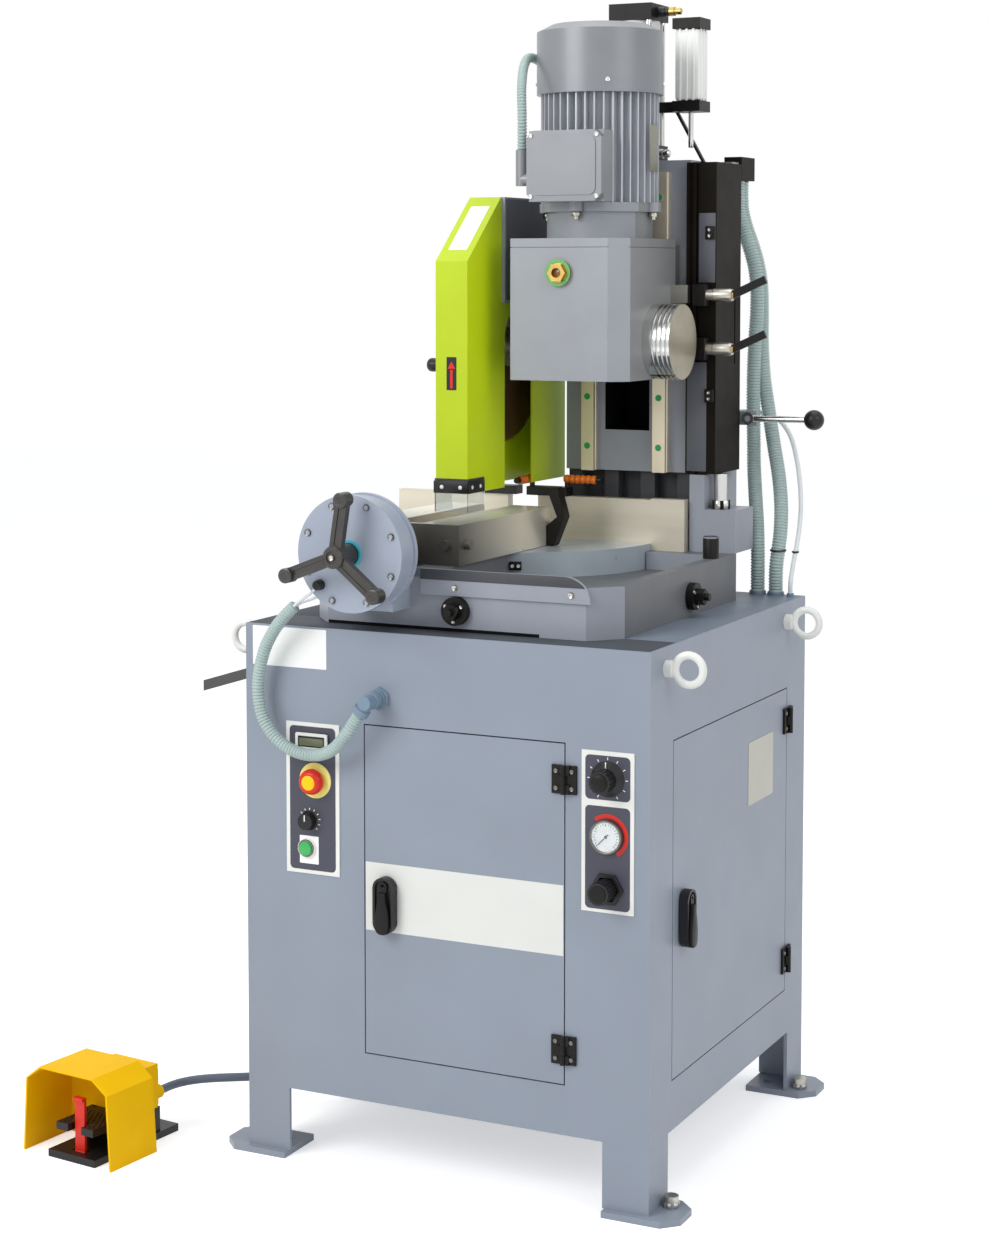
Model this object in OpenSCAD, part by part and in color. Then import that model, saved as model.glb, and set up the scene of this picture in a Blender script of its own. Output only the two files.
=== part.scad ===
// Cold saw: a vertical column sawing machine on a sheet-metal cabinet.
// Lengths are millimetres. +X runs along the front, +Y to the back, +Z up.
// The origin lies on the floor under the middle of the cabinet.

/* [Cabinet] */
// Width of the cabinet along its front
cab_w = 690; // [660:1:740]
// Depth of the cabinet
cab_d = 690; // [670:1:740]
// Height of the cabinet's top plate above the floor
cab_top = 850; // [800:1:900]
// Height of the cabinet's lower edge above the floor
cab_floor = 111; // [95:1:130]
// Thickness of the cabinet sheet
sheet_t = 3; // [2:0.5:4]
// Width of a leg's flange
leg_w = 75; // [65:1:85]
// Thickness of a leg's flange
leg_t = 6; // [4:0.5:9]
// Height of both doors
door_h = 515; // [460:1:540]
// Width of the front door
front_door_w = 338; // [310:1:345]
// Width of the side door
side_door_w = 508; // [460:1:530]

/* [Base and table] */
// Width of the base casting
base_w = 530; // [500:1:560]
// Depth of the base casting in front of the column
base_d = 525; // [510:1:540]
// Height of the base casting
base_h = 80; // [70:1:95]
// Height of the turntable above the base casting's rim
table_rise = 12; // [8:1:18]
// Radius of the turntable
table_r = 240; // [230:1:248]
// Height of the fence above the turntable
fence_h = 74; // [60:1:80]

/* [Blade and head] */
// Diameter of the saw blade
blade_d = 350; // [320:1:356]
// Thickness of the saw blade
blade_t = 2.5; // [1.8:0.1:3.5]
// Number of teeth on the blade
blade_teeth = 110; // [60:2:160]
// Height of the spindle above the turntable with the head up
spindle_rise = 345; // [335:1:350]
// Diameter of the spindle
spindle_d = 44; // [36:1:50]
// Width of the gearbox
gear_w = 202; // [190:1:210]
// Depth of the gearbox
gear_d = 219; // [205:1:225]
// Height of the gearbox
gear_h = 231; // [220:1:245]
// Diameter of the motor's fins
motor_d = 196; // [180:1:204]
// Length of the motor's finned frame
motor_h = 178; // [160:1:200]
// Diameter of the fan cowl
cowl_d = 210; // [200:1:216]
// Height of the fan cowl
cowl_h = 115; // [100:1:125]

/* [Column] */
// Width of the column's front plate
col_w = 228; // [220:1:236]
// Height of the column's front plate
col_h = 529; // [500:1:550]
// Distance between the guide rails
rail_pitch = 132; // [124:1:140]
// Width of a guide rail
rail_w = 23; // [19:1:27]
// Length of the feed cylinder
feed_h = 267; // [258:1:290]

/* [Vice] */
// Diameter of the vice cylinder
vice_d = 180; // [160:1:190]
// Width of one vice jaw
jaw_w = 69; // [60:1:74]
// Length of a vice jaw
jaw_l = 345; // [320:1:352]
// Height of a vice jaw
jaw_h = 64; // [55:1:70]
// Reach of a handle arm from the hub's axis
handle_reach = 88; // [70:1:96]

/* [Foot switch] */
// Width of the foot switch's hood
hood_w = 186; // [170:1:200]
// Height of the foot switch's hood
hood_h = 142; // [132:1:155]

/* [Hidden] */
$fn = 48;

// Shared clearances
half_share = 0.5;
over = 2;
gap = 0.3;
run_fit = 0.05;

// Colours
paint_blue = "#969eaa";
paint_grey = "#8f929a";
lime = "#a5c814";
steel = "#b9b6ad";
bright = "#d4d6d8";
black = "#26262a";
dark = "#46464a";
hose_green = "#8ca5a5";

// Main levels and planes
front_y = -cab_d / 2;
right_x = cab_w / 2;
base_top = cab_top + base_h;
table_z = base_top + table_rise;
spindle_z = table_z + spindle_rise;
blade_x = -126;
blade_y = 130;
head_x = 54;
fence_y = 212;
col_y = 250;

// Legs and feet
foot_t = 10;
foot_in = 72;
foot_out = 46;
foot_side = 12;
foot_back = 80;
foot_chamfer = 24;
anchor_r = 7;
anchor_in = 45;
level_r = 8;
level_out = 15;
level_in = 52;
level_head_r = 13;
level_head_h = 9;
level_nut_h = 8;

// Doors and their hinges
door_rise = 78;
door_z = cab_floor + door_rise;
door_gap = 2;
front_door_x = 38;
side_door_y = -1;
door_rib = 20;
door_rib_h = 15;
latch_w = 36;
latch_h = 89;
latch_t = 16;
latch_in = 39;
latch_rise = 239;
latch_z = door_z + latch_rise;
latch_plate_t = 2;
latch_shaft_r = 7;
hinge_h = 43;
hinge_w = 40;
hinge_t = 4;
hinge_pin_r = 4;
hinge_end = 53;
pin_out = 7;
latch_wall = 4;

// Control plates
plate_t = 2;
left_plate_x = -271;
left_plate_w = 95;
left_plate_rise = 272;
left_plate_z = door_z + left_plate_rise;
left_plate_h = 239;
right_plate_x = 236;
right_plate_w = 84;
right_plate_rise = 269;
right_plate_z = door_z + right_plate_rise;
right_plate_h = 241;
display_x = -223;
display_rise = 208;
display_z = left_plate_z + display_rise;
display_w = 54;
display_h = 28;
display_t = 4;
estop_x = -218;
estop_rise = 149;
estop_z = left_plate_z + estop_rise;
estop_r = 20;
estop_h = 18;
estop_collar_r = 28;
estop_stem_r = 11;
estop_travel = 5;
timer_x = -229;
timer_rise = 85;
timer_z = left_plate_z + timer_rise;
timer_r = 13;
timer_h = 14;
timer_flutes = 12;
start_x = -233;
start_rise = 41;
start_z = left_plate_z + start_rise;
start_r = 11;
start_h = 5;
start_ring_r = 15;
start_ring_h = 5;
start_travel = 3;
panel_x = 278;
dial_rise = 200;
dial_z = right_plate_z + dial_rise;
dial_r = 27;
dial_h = 8;
dial_grip_r = 17;
dial_grip_h = 24;
dial_flutes = 16;
gauge_rise = 115;
gauge_z = right_plate_z + gauge_rise;
gauge_r = 25;
gauge_h = 9;
regulator_rise = 36;
regulator_z = right_plate_z + regulator_rise;
regulator_r = 17;
regulator_h = 34;
regulator_flutes = 20;
shaft_r = 5;
shaft_l = 12;

// Small fittings on the cabinet
eye_ring_r = 22;
eye_wire_r = 6;
eye_y = 286;
eye_back_y = 247;
eye_drop = 32;
eye_boss_r = 13;
eye_boss_h = 12;
gland_x = -104;
gland_drop = 102;
gland_z = cab_top - gland_drop;
gland_r = 14;
gland_h = 12;
elbow_r = 11;
elbow_out = 41;
elbow_l = 24;
elbow_angle = 215.25;
rear_gland_h = 6;
tray_w = 80;
tray_l = 280;
tray_h = 17;
tray_drop = 115;
tray_z = cab_top - tray_drop;
tray_slope = 25;
tray_t = 3;

// Coolant tank in the cabinet
tank_w = 300;
tank_d = 380;
tank_h = 180;
tank_x = 20;
tank_wall = 4;
pump_r = 55;
pump_h = 150;
pump_cap_h = 12;
tank_lid = 4;

// Base casting
base_x = -5;
base_front = -290;
base_chamfer_x = 43;
base_chamfer_y = 47;
rim_t = 20;
recess_depth = 30;
pad_y = 190;
tail_x = -25;
tail_w = 410;
tail_d = 105;
way_in = 8;
way_gap = 8;
table_x = blade_x;
table_y = fence_y;
table_side = 123;
table_back = 12;
slot_w = 10;
slot_depth = 15;
splash_t = 5;
splash_x = -60;
splash_l = 246;
splash_drop = 24;
splash_z = base_top - splash_drop;
splash_h = 40;
clamp_r = 22;
clamp_t = 12;
clamp_boss_r = 13;
clamp_boss_h = 14;
clamp_stud_r = 6;
clamp_stud_h = 8;
clamp_front_x = 1;
clamp_side_y = 25;
clamp_drop = 47;
clamp_z = base_top - clamp_drop;
stop_stud_r = 13;
stop_stud_h = 36;
stop_stud_y = 150;

// Fence and coolant outlets
fence_t = 20;
fence_gap_right = 29;
fence_right_l = 272;
fence_low_x = 114;
fence_step = 2;
fence_left_l = 216;
fence_gap_left = 29;
block_h = 15;
block_d = 27;
block_gap = 10;
block_right_l = 76;
block_left_l = 68;
ball_r = 6.5;
ball_step = 10;
neck_r = 4.5;
ball_count = 6;
nozzle_right_x = -46;
nozzle_right_y = 222;
nozzle_left_x = -108;
nozzle_left_y = 212;
post_h = 14;

// Vice
vice_rise = 33;
vice_z = table_z + vice_rise;
vice_front = -400;
cover_t = 14;
vice_body_t = 30;
vice_flange_t = 8;
vice_step = 3;
spigot_r = 46;
rod_r = 20;
screw_r = 8;
jaw_front = -227;
jaw_plate_t = 12;
jaw_tip_in = 6;
jaw_slit = 29;
jaw_rise = 1;
rod_back = 147;
screw_back = 150;
cap_screws = 8;
cap_screw_r = 4.5;
cap_screw_h = 2;
cap_ring_in = 12;
hub_r = 17;
hub_l = 48;
arm_w = 20;
arm_t = 12;
arm_flute = 6;
pad_r = 11.5;
pad_l = 22;
handle_angle = 81;
air_fit_r = 7;
air_fit_l = 12;
air_fit_angle = 224;
air_fit_share = 0.785;
bracket_t = 14;
bracket_w = 22;
bracket_h = 98;
bracket_bulge = 20;
stop_bolt_r = 8;
stop_bolt_l = 10;

// Column
plate_d = 40;
col_rise = 131;
col_z = base_top + col_rise;
window_w = 82;
window_low = 70;
body_d = 60;
back_t = 32;
back_right = 205;
back_rise = 23;
back_low = base_top + back_rise;
rib_w = 26;
ribs = 4;
rib_y = 262;
foot_left = 178;
foot_front = 228;
foot_rear = 316;
foot_step_x = 205;
foot_step_rise = 72;
foot_step_z = base_top + foot_step_rise;
foot_block_rise = 130;
foot_block_z = base_top + foot_block_rise;
cap_plate_t = 20;
rail_h = 20;
rail_cap_r = 5.5;
rail_holes = 6;
rail_cap_t = 1;
cover_right = 222;
cover_front = 232;
cover_rise = 1;
cover_low = col_z + cover_rise;
cover_drop = 5;
cover_top = col_z + col_h - cover_drop;
cover_wall = 2;
cover_slot_w = 5;
cover_slot_rise = 184;
cover_slot_low = col_z + cover_slot_rise;
cover_slot_h = 115;
cover_groove = 6;
cover_groove_d = 5;
rod_stop_r = 11;
rod_nut_r = 17;
rod_nut_h = 15;
ear_t = 6;
ear_w = 24;
pivot_x = 236;
pivot_rise = 89;
pivot_z = col_z + pivot_rise;
pivot_r = 5;
ball_hub_r = 11;
ball_hub_t = 12;
ball_lever_l = 118;
ball_end_r = 17;

// Stop dogs and their clamp levers
dog_w = 22;
dog_d = 24;
dog_h = 36;
dog_out = 21;
dog_x = head_x + col_w / 2 + dog_out;
dog_high_rise = 302;
dog_high_z = col_z + dog_high_rise;
dog_low_rise = 212;
dog_low_z = col_z + dog_low_rise;
lever_hub_r = 10;
lever_hub_l = 44;
lever_w = 13;
lever_t = 6;
lever_l = 64;
lever_angle = 24;

// Cylinders on the column
cyl_y = 294;
feed_side = 78;
feed_cap_h = 28;
feed_bore_r = 31.5;
feed_wall = 5;
feed_rod_r = 10;
piston_h = 22;
piston_gap = 7;
oil_x = 151;
oil_r = 21;
oil_side = 50;
oil_rise = 83;
oil_low = col_z + col_h + oil_rise;
oil_h = 157;
oil_cap_h = 18;
oil_rod_r = 4;
oil_rod_l = 60;
oil_strap_t = 8;

// Blade guard
guard_w = 58;
guard_offset = 1;
guard_wall = 2;
guard_reach = 17;
guard_front = blade_y - blade_d / 2 - guard_reach;
guard_back = blade_y + blade_d / 2 + guard_reach;
guard_over_block = 9;
guard_low = table_z + fence_h + block_h + guard_over_block;
guard_bend_rise = 132;
guard_bend = spindle_z + guard_bend_rise;
guard_over_blade = 64;
guard_top = spindle_z + blade_d / 2 + guard_over_blade;
guard_slope_l = 125;
guard_slope_y = guard_front + guard_slope_l;
guard_slot_w = 106;
guard_arm_y = 262;
guard_arm_d = 56;
guard_arm_rise = 63;
guard_arm_z = spindle_z + guard_arm_rise;
mount_t = 6;
guard_arm_h = 100;
guard_knob_r = 9;
guard_knob_l = 14;
guard_knob_y = 30;
guard_knob_rise = 200;
guard_knob_z = guard_low + guard_knob_rise;
flap_t = 1.5;
flap_over_jaw = 2;
flap_low = table_z + jaw_rise + jaw_h + flap_over_jaw;
flap_lap = 24;
flap_side = 60;

// Head
slide_gap = 34;
gear_back = col_y - slide_gap;
gear_front = gear_back - gear_d;
gear_low = 62;
gear_z = spindle_z - gear_low;
gear_top = gear_z + gear_h;
gear_wall = 18;
gear_floor = 10;
gear_chamfer_x = 29;
gear_chamfer_y = 25;
lid_h = 15;
lid_groove = 2;
cap_r = 62;
cap_l = 48;
cap_groove = 4;
cap_grooves = 4;
cap_groove_d = 6;
cap_rim = 16;
sight_r = 21;
sight_h = 6;
sight_nut_r = 16;
sight_nut_h = 8;
sight_x = -13;
sight_drop = 56;
block_w = 58;
block_len = 70;
block_t = 30;
block_end = 10;
lug_w = 40;
lug_h = 40;
lug_rise = 155;
lug_z = gear_z + lug_rise;
lug_end = 14;
trip_gap = 4;
trip_d = 20;
trip_h = 30;
trip_rise = 125;
trip_z = gear_z + trip_rise;

// Motor and drive
motor_y = blade_y;
adapter_h = 44;
adapter_d = 176;
flange_t = 15;
flange_side = 190;
lug_out = 96;
lug_r = 13;
fin_count = 40;
fin_t = 2.6;
frame_share = 0.8;
frame_bore_r = 62;
cowl_wall = 3;
cowl_chamfer = 12;
cowl_slots = 12;
cowl_slot_w = 5;
cowl_slot_in = 22;
cowl_slot_out = 74;
box_w = 132;
box_h = 114;
box_d = 46;
box_lid_t = 10;
box_chamfer = 12;
box_back_y = 30;
joint_r = 10.5;
joint_drop = 48;
rotor_r = 55;
rotor_low = 14;
rotor_shaft_r = 14;
fan_r = 80;
fan_h = 30;
fan_rise = 20;
fan_blades = 8;
fan_blade_t = 4;
crown_r = 44;
crown_t = 12;
crown_teeth = 40;
tooth_h = 6;
tooth_len = 10;
tooth_w = 2;
pinion_teeth = 12;
pinion_h = 6;
pinion_r = 14;
pinion_tooth_w = 2;
pinion_tooth_h = 4;
pinion_mesh = 3.5;

// Spindle and blade
flange_r = 45;
flange_disc_t = 12;
arbor_r = 20;
nut_t = 8;
tooth_depth = 4;
tooth_lean_share = 0.85;
drive_pin_r = 4;
drive_pin_ring = 32;
drive_pins = 4;

// Foot switch
pedal_x = -567;
pedal_y = -518;
hood_shift = -10;
pgland_x = 26;
pedal_turn = -7;
hood_l = 108;
hood_wall = 3;
hood_top_share = 0.6;
hood_shoulder_share = 0.84;
hood_side_share = 0.92;
rear_w = 92;
rear_l = 58;
rear_z = 52;
rear_h = 72;
rear_share = 0.8;
pbase_w = 98;
pbase_l = 200;
pbase_t = 12;
pbody_w = 90;
pbody_l = 62;
pbody_y = 98;
treadle_t = 12;
treadle_y = 8;
treadle_z = 56;
treadle_hub_r = 7;
treadle_pin_r = 3;
treadle_ear_t = 6;
latch_bar_w = 20;
latch_bar_t = 5;
latch_bar_h = 90;
latch_bar_y = 20;
latch_slot = 4;
latch_pin_r = 2;
latch_hub_r = 4;
latch_floor = 4;
latch_pin_z = 8.5;
pgland_r = 11;
pgland_l = 14;
pgland_z = 68;

// Hose sizes and routes
hose_sides = 8;
front_hose_r = 10;
front_ribs = 38;
rear_hose_r = 12.5;
rear_ribs = 60;
conduit_r = 8;
conduit_ribs = 36;
hose_root = 1.2;
hose_wall = 1.6;
cable_r = 7;
cable_rings = 24;
tube_r = 4;
tube_rings = 24;
vice_tube_r = 2.5;
vice_tube_rings = 8;
hose_straight = 20;
elbow_heading = [sin(elbow_angle), 0, cos(elbow_angle)];
elbow_end = [gland_x, front_y - elbow_out, gland_z] + elbow_l * elbow_heading;
front_route = concat([
    [-231, -385, 888], [-251, -382.5, 870.5], [-273, -379, 846], [-291, -376, 816], [-303, -373, 780],
    [-306, -372, 745], [-297.6, -372, 707], [-273.9, -372, 676], [-239.3, -372, 658],
    [-200.4, -374.5, 656.4], [-167, -380.5, 669.5]],
    [for (k = [2, 1, 0]) elbow_end + k * hose_straight * elbow_heading]);
rear_route_a = [
    [196, 402, 1560], [196, 402, 1535], [198, 402, 1508], [206, 402, 1478], [218, 402, 1446],
    [228, 402, 1412], [233, 402, 1375], [233, 402, 1330], [230, 402, 1280], [228, 402, 1220],
    [228, 402, 1160], [230, 400, 1100], [233.4, 393, 1061], [241.9, 376.2, 1022], [252, 356, 984],
    [260.5, 338.5, 945], [264, 331, 906], [264, 331, 881], [264, 331, 856]];
rear_route_b = [
    [193, 430, 1560], [193, 430, 1535], [195, 430, 1508], [203, 430, 1478], [215, 430, 1446],
    [225, 430, 1412], [231, 430, 1375], [232.5, 430, 1330], [233, 429.5, 1280], [238, 427, 1220],
    [251, 417, 1160], [267, 401, 1100], [283, 382, 1048], [294, 363, 1000], [298.5, 347.5, 957],
    [298.3, 337.5, 927], [297.4, 331.7, 904], [297, 330, 884], [297, 330, 870], [297, 330, 856]];
air_route = [
    [200, 382, 1158], [200, 397, 1158], [203.9, 414.7, 1158], [215, 429.2, 1157.5], [232, 438, 1155],
    [252, 440, 1149], [272, 436, 1135], [291, 427, 1108], [307, 414, 1060], [317, 400, 1006],
    [321.5, 381, 967], [324, 360, 935], [325, 343, 911], [325.8, 332, 894], [326, 325, 881],
    [326, 322, 868], [326, 322, 862], [326, 322, 856]];
vice_route_a = [
    [-238.6, -386.9, 881.6], [-231, -387.7, 888], [-221, -389, 896], [-208, -393, 904], [-195, -399, 911],
    [-182.3, -407, 920.4]];
vice_route_b = [
    [-238.6, -381.5, 881.6], [-231, -382.3, 888], [-220, -380, 894], [-207, -375, 899], [-196, -371.5, 905],
    [-187.8, -371, 913.2]];
cable_route = [
    [-519.3, -342.5, 68], [-517.5, -327.6, 68], [-515.7, -312.7, 68], [-509, -292, 68],
    [-494, -272, 68.5], [-473, -255, 69], [-449, -239, 69], [-424, -220, 68], [-400, -197, 65.5],
    [-377, -170, 60], [-355, -141, 51.5], [-334, -111, 40], [-314, -82, 27.5], [-295, -55, 16.5],
    [-278, -31, 10], [-264, -11, 8.5], [-249, 10.2, 13.5], [-236.5, 27.8, 28], [-228, 39.7, 49],
    [-225, 44, 71], [-225, 44, 88], [-225, 44, 105]];

// Box standing on z0, centred on x and y
module slab(x, y, z0, w, d, h) {
    translate([x - w / 2, y - d / 2, z0]) cube([w, d, h]);
}

// Box between two corners
module span(low, high) {
    translate(low) cube(high - low);
}

// Cylinder along +X from a point
module rod_x(p, r, l) {
    translate(p) rotate([0, 90, 0]) cylinder(r = r, h = l);
}

// Cylinder along +Y from a point
module rod_y(p, r, l) {
    translate(p) rotate([-90, 0, 0]) cylinder(r = r, h = l);
}

// Hexagonal bar along +Z from a point
module hex_z(p, r, h) {
    translate(p) cylinder(r = r, h = h, $fn = 6);
}

// Children in all four corners of the cabinet
module corners() {
    for (x = [0, 1], y = [0, 1]) mirror([x, 0, 0]) mirror([0, y, 0]) children();
}

// Smooth curve through a route's points, and its heading
function unit(v) = v / norm(v);
function curve(pts, s) =
    let (n = len(pts) - 1, i = min(floor(s), n - 1), f = s - i,
         a = pts[max(i - 1, 0)], b = pts[i], c = pts[i + 1], d = pts[min(i + 2, n)])
    (2 * b + (c - a) * f + (2 * a - 5 * b + 4 * c - d) * f * f
        + (3 * b - a - 3 * c + d) * f * f * f) / 2;
heading_step_share = 0.05;
function heading(pts, s) =
    let (n = len(pts) - 1)
    unit(curve(pts, min(s + heading_step_share, n)) - curve(pts, max(s - heading_step_share, 0)));

// Rings of points along a route, one radius a ring
function rings(pts, radii, ref) =
    let (count = len(radii) - 1)
    [for (k = [0 : count])
        let (s = k / count * (len(pts) - 1), p = curve(pts, s), t = heading(pts, s),
             u = unit(cross(ref, t)), v = cross(t, u))
        for (j = [0 : hose_sides - 1])
            p + radii[k] * (cos(360 * j / hose_sides) * u + sin(360 * j / hose_sides) * v)];

// Side triangles of a tube whose rings start at a point index
function skin(start, count, inward) =
    [for (k = [0 : count - 1], j = [0 : hose_sides - 1])
        let (m = (j + 1) % hose_sides, a = start + k * hose_sides + j, b = start + k * hose_sides + m,
             c = b + hose_sides, d = a + hose_sides)
        each inward ? [[a, b, c], [a, c, d]] : [[a, c, b], [a, d, c]]];

// Solid round cord
module cord(pts, r, count, ref) {
    last = count * hose_sides;
    caps = [for (j = [1 : hose_sides - 2]) each [[0, j, j + 1], [last, last + j + 1, last + j]]];
    polyhedron(rings(pts, [for (k = [0 : count]) r], ref), concat(skin(0, count, false), caps));
}

// Corrugated hose with its bore
module hose(pts, r, ribs, ref) {
    count = 2 * ribs;
    crest = [for (k = [0 : count]) k % 2 == 0 ? r - hose_root : r];
    bore = [for (k = [0 : ribs]) r - hose_root - hose_wall];
    inner = (count + 1) * hose_sides;
    far = count * hose_sides;
    inner_far = inner + ribs * hose_sides;
    ends = [for (j = [0 : hose_sides - 1])
        let (m = (j + 1) % hose_sides)
        each [[j, m, inner + m], [j, inner + m, inner + j],
              [far + m, far + j, inner_far + j], [far + m, inner_far + j, inner_far + m]]];
    polyhedron(concat(rings(pts, crest, ref), rings(pts, bore, ref)),
               concat(skin(0, count, false), skin(inner, ribs, true), ends));
}

// Opening in a wall, seen from outside with its outer face on y = 0
module wall_hole(x, z, w, h) {
    translate([x - w / 2, -over, z]) cube([w, sheet_t + 2 * over, h]);
}

// Places a door or its fittings on the front or on the right side
module on_front() {
    translate([front_door_x, front_y, door_z]) children();
}
module on_side() {
    translate([right_x, side_door_y, door_z]) rotate([0, 0, 90]) children();
}

// Shaft holes of both control plates, as x, z and radius
left_holes = [[estop_x, estop_z, estop_stem_r], [timer_x, timer_z, shaft_r], [start_x, start_z, start_r]];
right_holes = [[panel_x, dial_z, shaft_r], [panel_x, regulator_z, shaft_r]];

module cabinet_shell() {
    color(paint_blue) difference() {
        slab(0, 0, cab_floor, cab_w, cab_d, cab_top - cab_floor);
        slab(0, 0, cab_floor + sheet_t, cab_w - 2 * sheet_t, cab_d - 2 * sheet_t,
             cab_top - cab_floor - 2 * sheet_t);
        on_front() wall_hole(0, -door_gap, front_door_w + 2 * door_gap, door_h + 2 * door_gap);
        on_side() wall_hole(0, -door_gap, side_door_w + 2 * door_gap, door_h + 2 * door_gap);
        for (p = concat(left_holes, right_holes))
            rod_y([p[0], front_y - over, p[1]], p[2] + gap, sheet_t + 2 * over);
    }
}

// Leg in the right back corner with its foot plate
module leg() {
    side_y = cab_d / 2;
    difference() {
        translate([right_x - leg_w, side_y - leg_w, foot_t]) cube([leg_w, leg_w, cab_floor - foot_t]);
        translate([right_x - leg_w - over, side_y - leg_w - over, foot_t - over])
            cube([leg_w + over - leg_t, leg_w + over - leg_t, cab_floor + over]);
    }
    difference() {
        linear_extrude(foot_t) polygon([
            [right_x - foot_in, side_y - foot_back],
            [right_x + foot_out - foot_chamfer, side_y - foot_back],
            [right_x + foot_out, side_y - foot_back + foot_chamfer],
            [right_x + foot_out, side_y + foot_side - foot_chamfer],
            [right_x + foot_out - foot_chamfer, side_y + foot_side],
            [right_x - foot_in, side_y + foot_side]]);
        translate([right_x - anchor_in, side_y - anchor_in, -over])
            cylinder(r = anchor_r, h = foot_t + 2 * over);
        translate([right_x + level_out, side_y - level_in, -over])
            cylinder(r = level_r, h = foot_t + 2 * over);
    }
}

// Levelling screw: hexagon head over a lock nut
module level_screw() {
    translate([right_x + level_out, cab_d / 2 - level_in, 0]) {
        cylinder(r = level_r, h = foot_t + level_nut_h + level_head_h);
        hex_z([0, 0, foot_t], level_head_r, level_nut_h);
        translate([0, 0, foot_t + level_nut_h]) cylinder(r = level_head_r - over, h = level_head_h);
    }
}

module legs() {
    color(paint_grey) corners() {
        leg();
        level_screw();
    }
}

module eye_bolt(y) {
    rod_x([right_x, y, cab_top - eye_drop], eye_boss_r, eye_boss_h);
    translate([right_x + eye_boss_h + eye_ring_r + over, y, cab_top - eye_drop])
        rotate([90, 0, 0]) rotate_extrude() translate([eye_ring_r, 0]) circle(r = eye_wire_r);
}

module lifting_eyes() {
    color("white") for (side = [0, 1]) mirror([side, 0, 0]) {
        eye_bolt(-eye_y);
        eye_bolt(eye_back_y);
    }
}

// Heights of both hinges on a door
hinge_rows = [hinge_end, door_h - hinge_end];

// Hinge pin line measured from the door's middle
function pin_x(w) = w / 2 + door_gap / 2;

module hinge_frame(w) {
    for (z = hinge_rows) translate([pin_x(w), 0, z]) {
        translate([hinge_pin_r, -hinge_t, -hinge_h / 2])
            cube([hinge_w / 2 - hinge_pin_r, hinge_t, hinge_h]);
        difference() {
            union() {
                translate([0, -pin_out, -hinge_h / 2]) cylinder(r = hinge_pin_r, h = hinge_h);
                translate([0, -pin_out, -hinge_h / 2]) cube([hinge_w / 4, pin_out - over, hinge_h]);
            }
            translate([-hinge_w, -hinge_w, -hinge_h / 6 - gap])
                cube([2 * hinge_w, 2 * hinge_w, hinge_h / 3 + 2 * gap]);
        }
        translate([0, -pin_out, -hinge_h / 2]) cylinder(r = hinge_pin_r / 2, h = hinge_h);
    }
}

module hinge_frames() {
    color(black) {
        on_front() hinge_frame(front_door_w);
        on_side() hinge_frame(side_door_w);
    }
}

// Door panel with an inner stiffening frame and its two hinge leaves
module door(w) {
    difference() {
        union() {
            translate([-w / 2, 0, 0]) cube([w, sheet_t, door_h]);
            translate([-w / 2 + door_rib, sheet_t, door_rib])
                cube([w - 2 * door_rib, door_rib_h, door_h - 2 * door_rib]);
        }
        translate([-w / 2 + door_rib + sheet_t, sheet_t, door_rib + sheet_t])
            cube([w - 2 * door_rib - 2 * sheet_t, door_rib_h + over, door_h - 2 * door_rib - 2 * sheet_t]);
        rod_y([latch_in - w / 2, -over, latch_z - door_z], latch_shaft_r + gap, sheet_t + 2 * over);
    }
    for (z = hinge_rows) translate([pin_x(w), 0, z]) {
        translate([-hinge_w / 2, -hinge_t, -hinge_h / 2])
            cube([hinge_w / 2 - hinge_pin_r, hinge_t, hinge_h]);
        difference() {
            translate([0, 0, -hinge_h / 6]) union() {
                translate([0, -pin_out, 0]) cylinder(r = hinge_pin_r, h = hinge_h / 3);
                translate([-hinge_w / 4, -pin_out, 0]) cube([hinge_w / 4, pin_out - over, hinge_h / 3]);
            }
            translate([0, -pin_out, -hinge_h]) cylinder(r = hinge_pin_r / 2 + run_fit, h = 2 * hinge_h);
        }
    }
}

// Swing lever turning on a shaft through the door
module latch(w) {
    end_z = (latch_h - latch_w) / 2;
    translate([latch_in - w / 2, 0, latch_z - door_z]) {
        difference() {
            hull() for (z = [-1, 1])
                rod_y([0, -latch_t, z * end_z], latch_w / 2, latch_t - latch_plate_t - gap);
            hull() for (z = [-1, 1])
                rod_y([0, -latch_t - over, z * end_z], latch_w / 2 - latch_wall, latch_wall + over);
        }
        translate([-latch_w / 6, -latch_t, -latch_h / 3]) cube([latch_w / 3, latch_wall, latch_h * 2 / 3]);
        rod_y([0, -latch_plate_t - gap, 0], latch_shaft_r, latch_plate_t + sheet_t + door_rib_h + 2 * gap);
        translate([-latch_w, sheet_t + door_rib_h + gap, -latch_shaft_r])
            cube([latch_w + latch_shaft_r, latch_plate_t, 2 * latch_shaft_r]);
    }
}

module front_door() { color(paint_blue) on_front() door(front_door_w); }
module side_door() { color(paint_blue) on_side() door(side_door_w); }
module front_latch() { color(black) on_front() latch(front_door_w); }
module side_latch() { color(black) on_side() latch(side_door_w); }

// Sloping band of the chute, as high as given, along y
module chute_band(y, l, h) {
    translate([-right_x, y + l, tray_z]) rotate([90, 0, 0]) linear_extrude(l)
        polygon([[-tray_w, 0], [0, tray_slope], [0, tray_slope + h], [-tray_w, h]]);
}

module chip_tray() {
    color(dark) {
        chute_band(front_y, tray_l, tray_t);
        chute_band(front_y, tray_t, tray_h);
        chute_band(front_y + tray_l - tray_t, tray_t, tray_h);
    }
}

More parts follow.
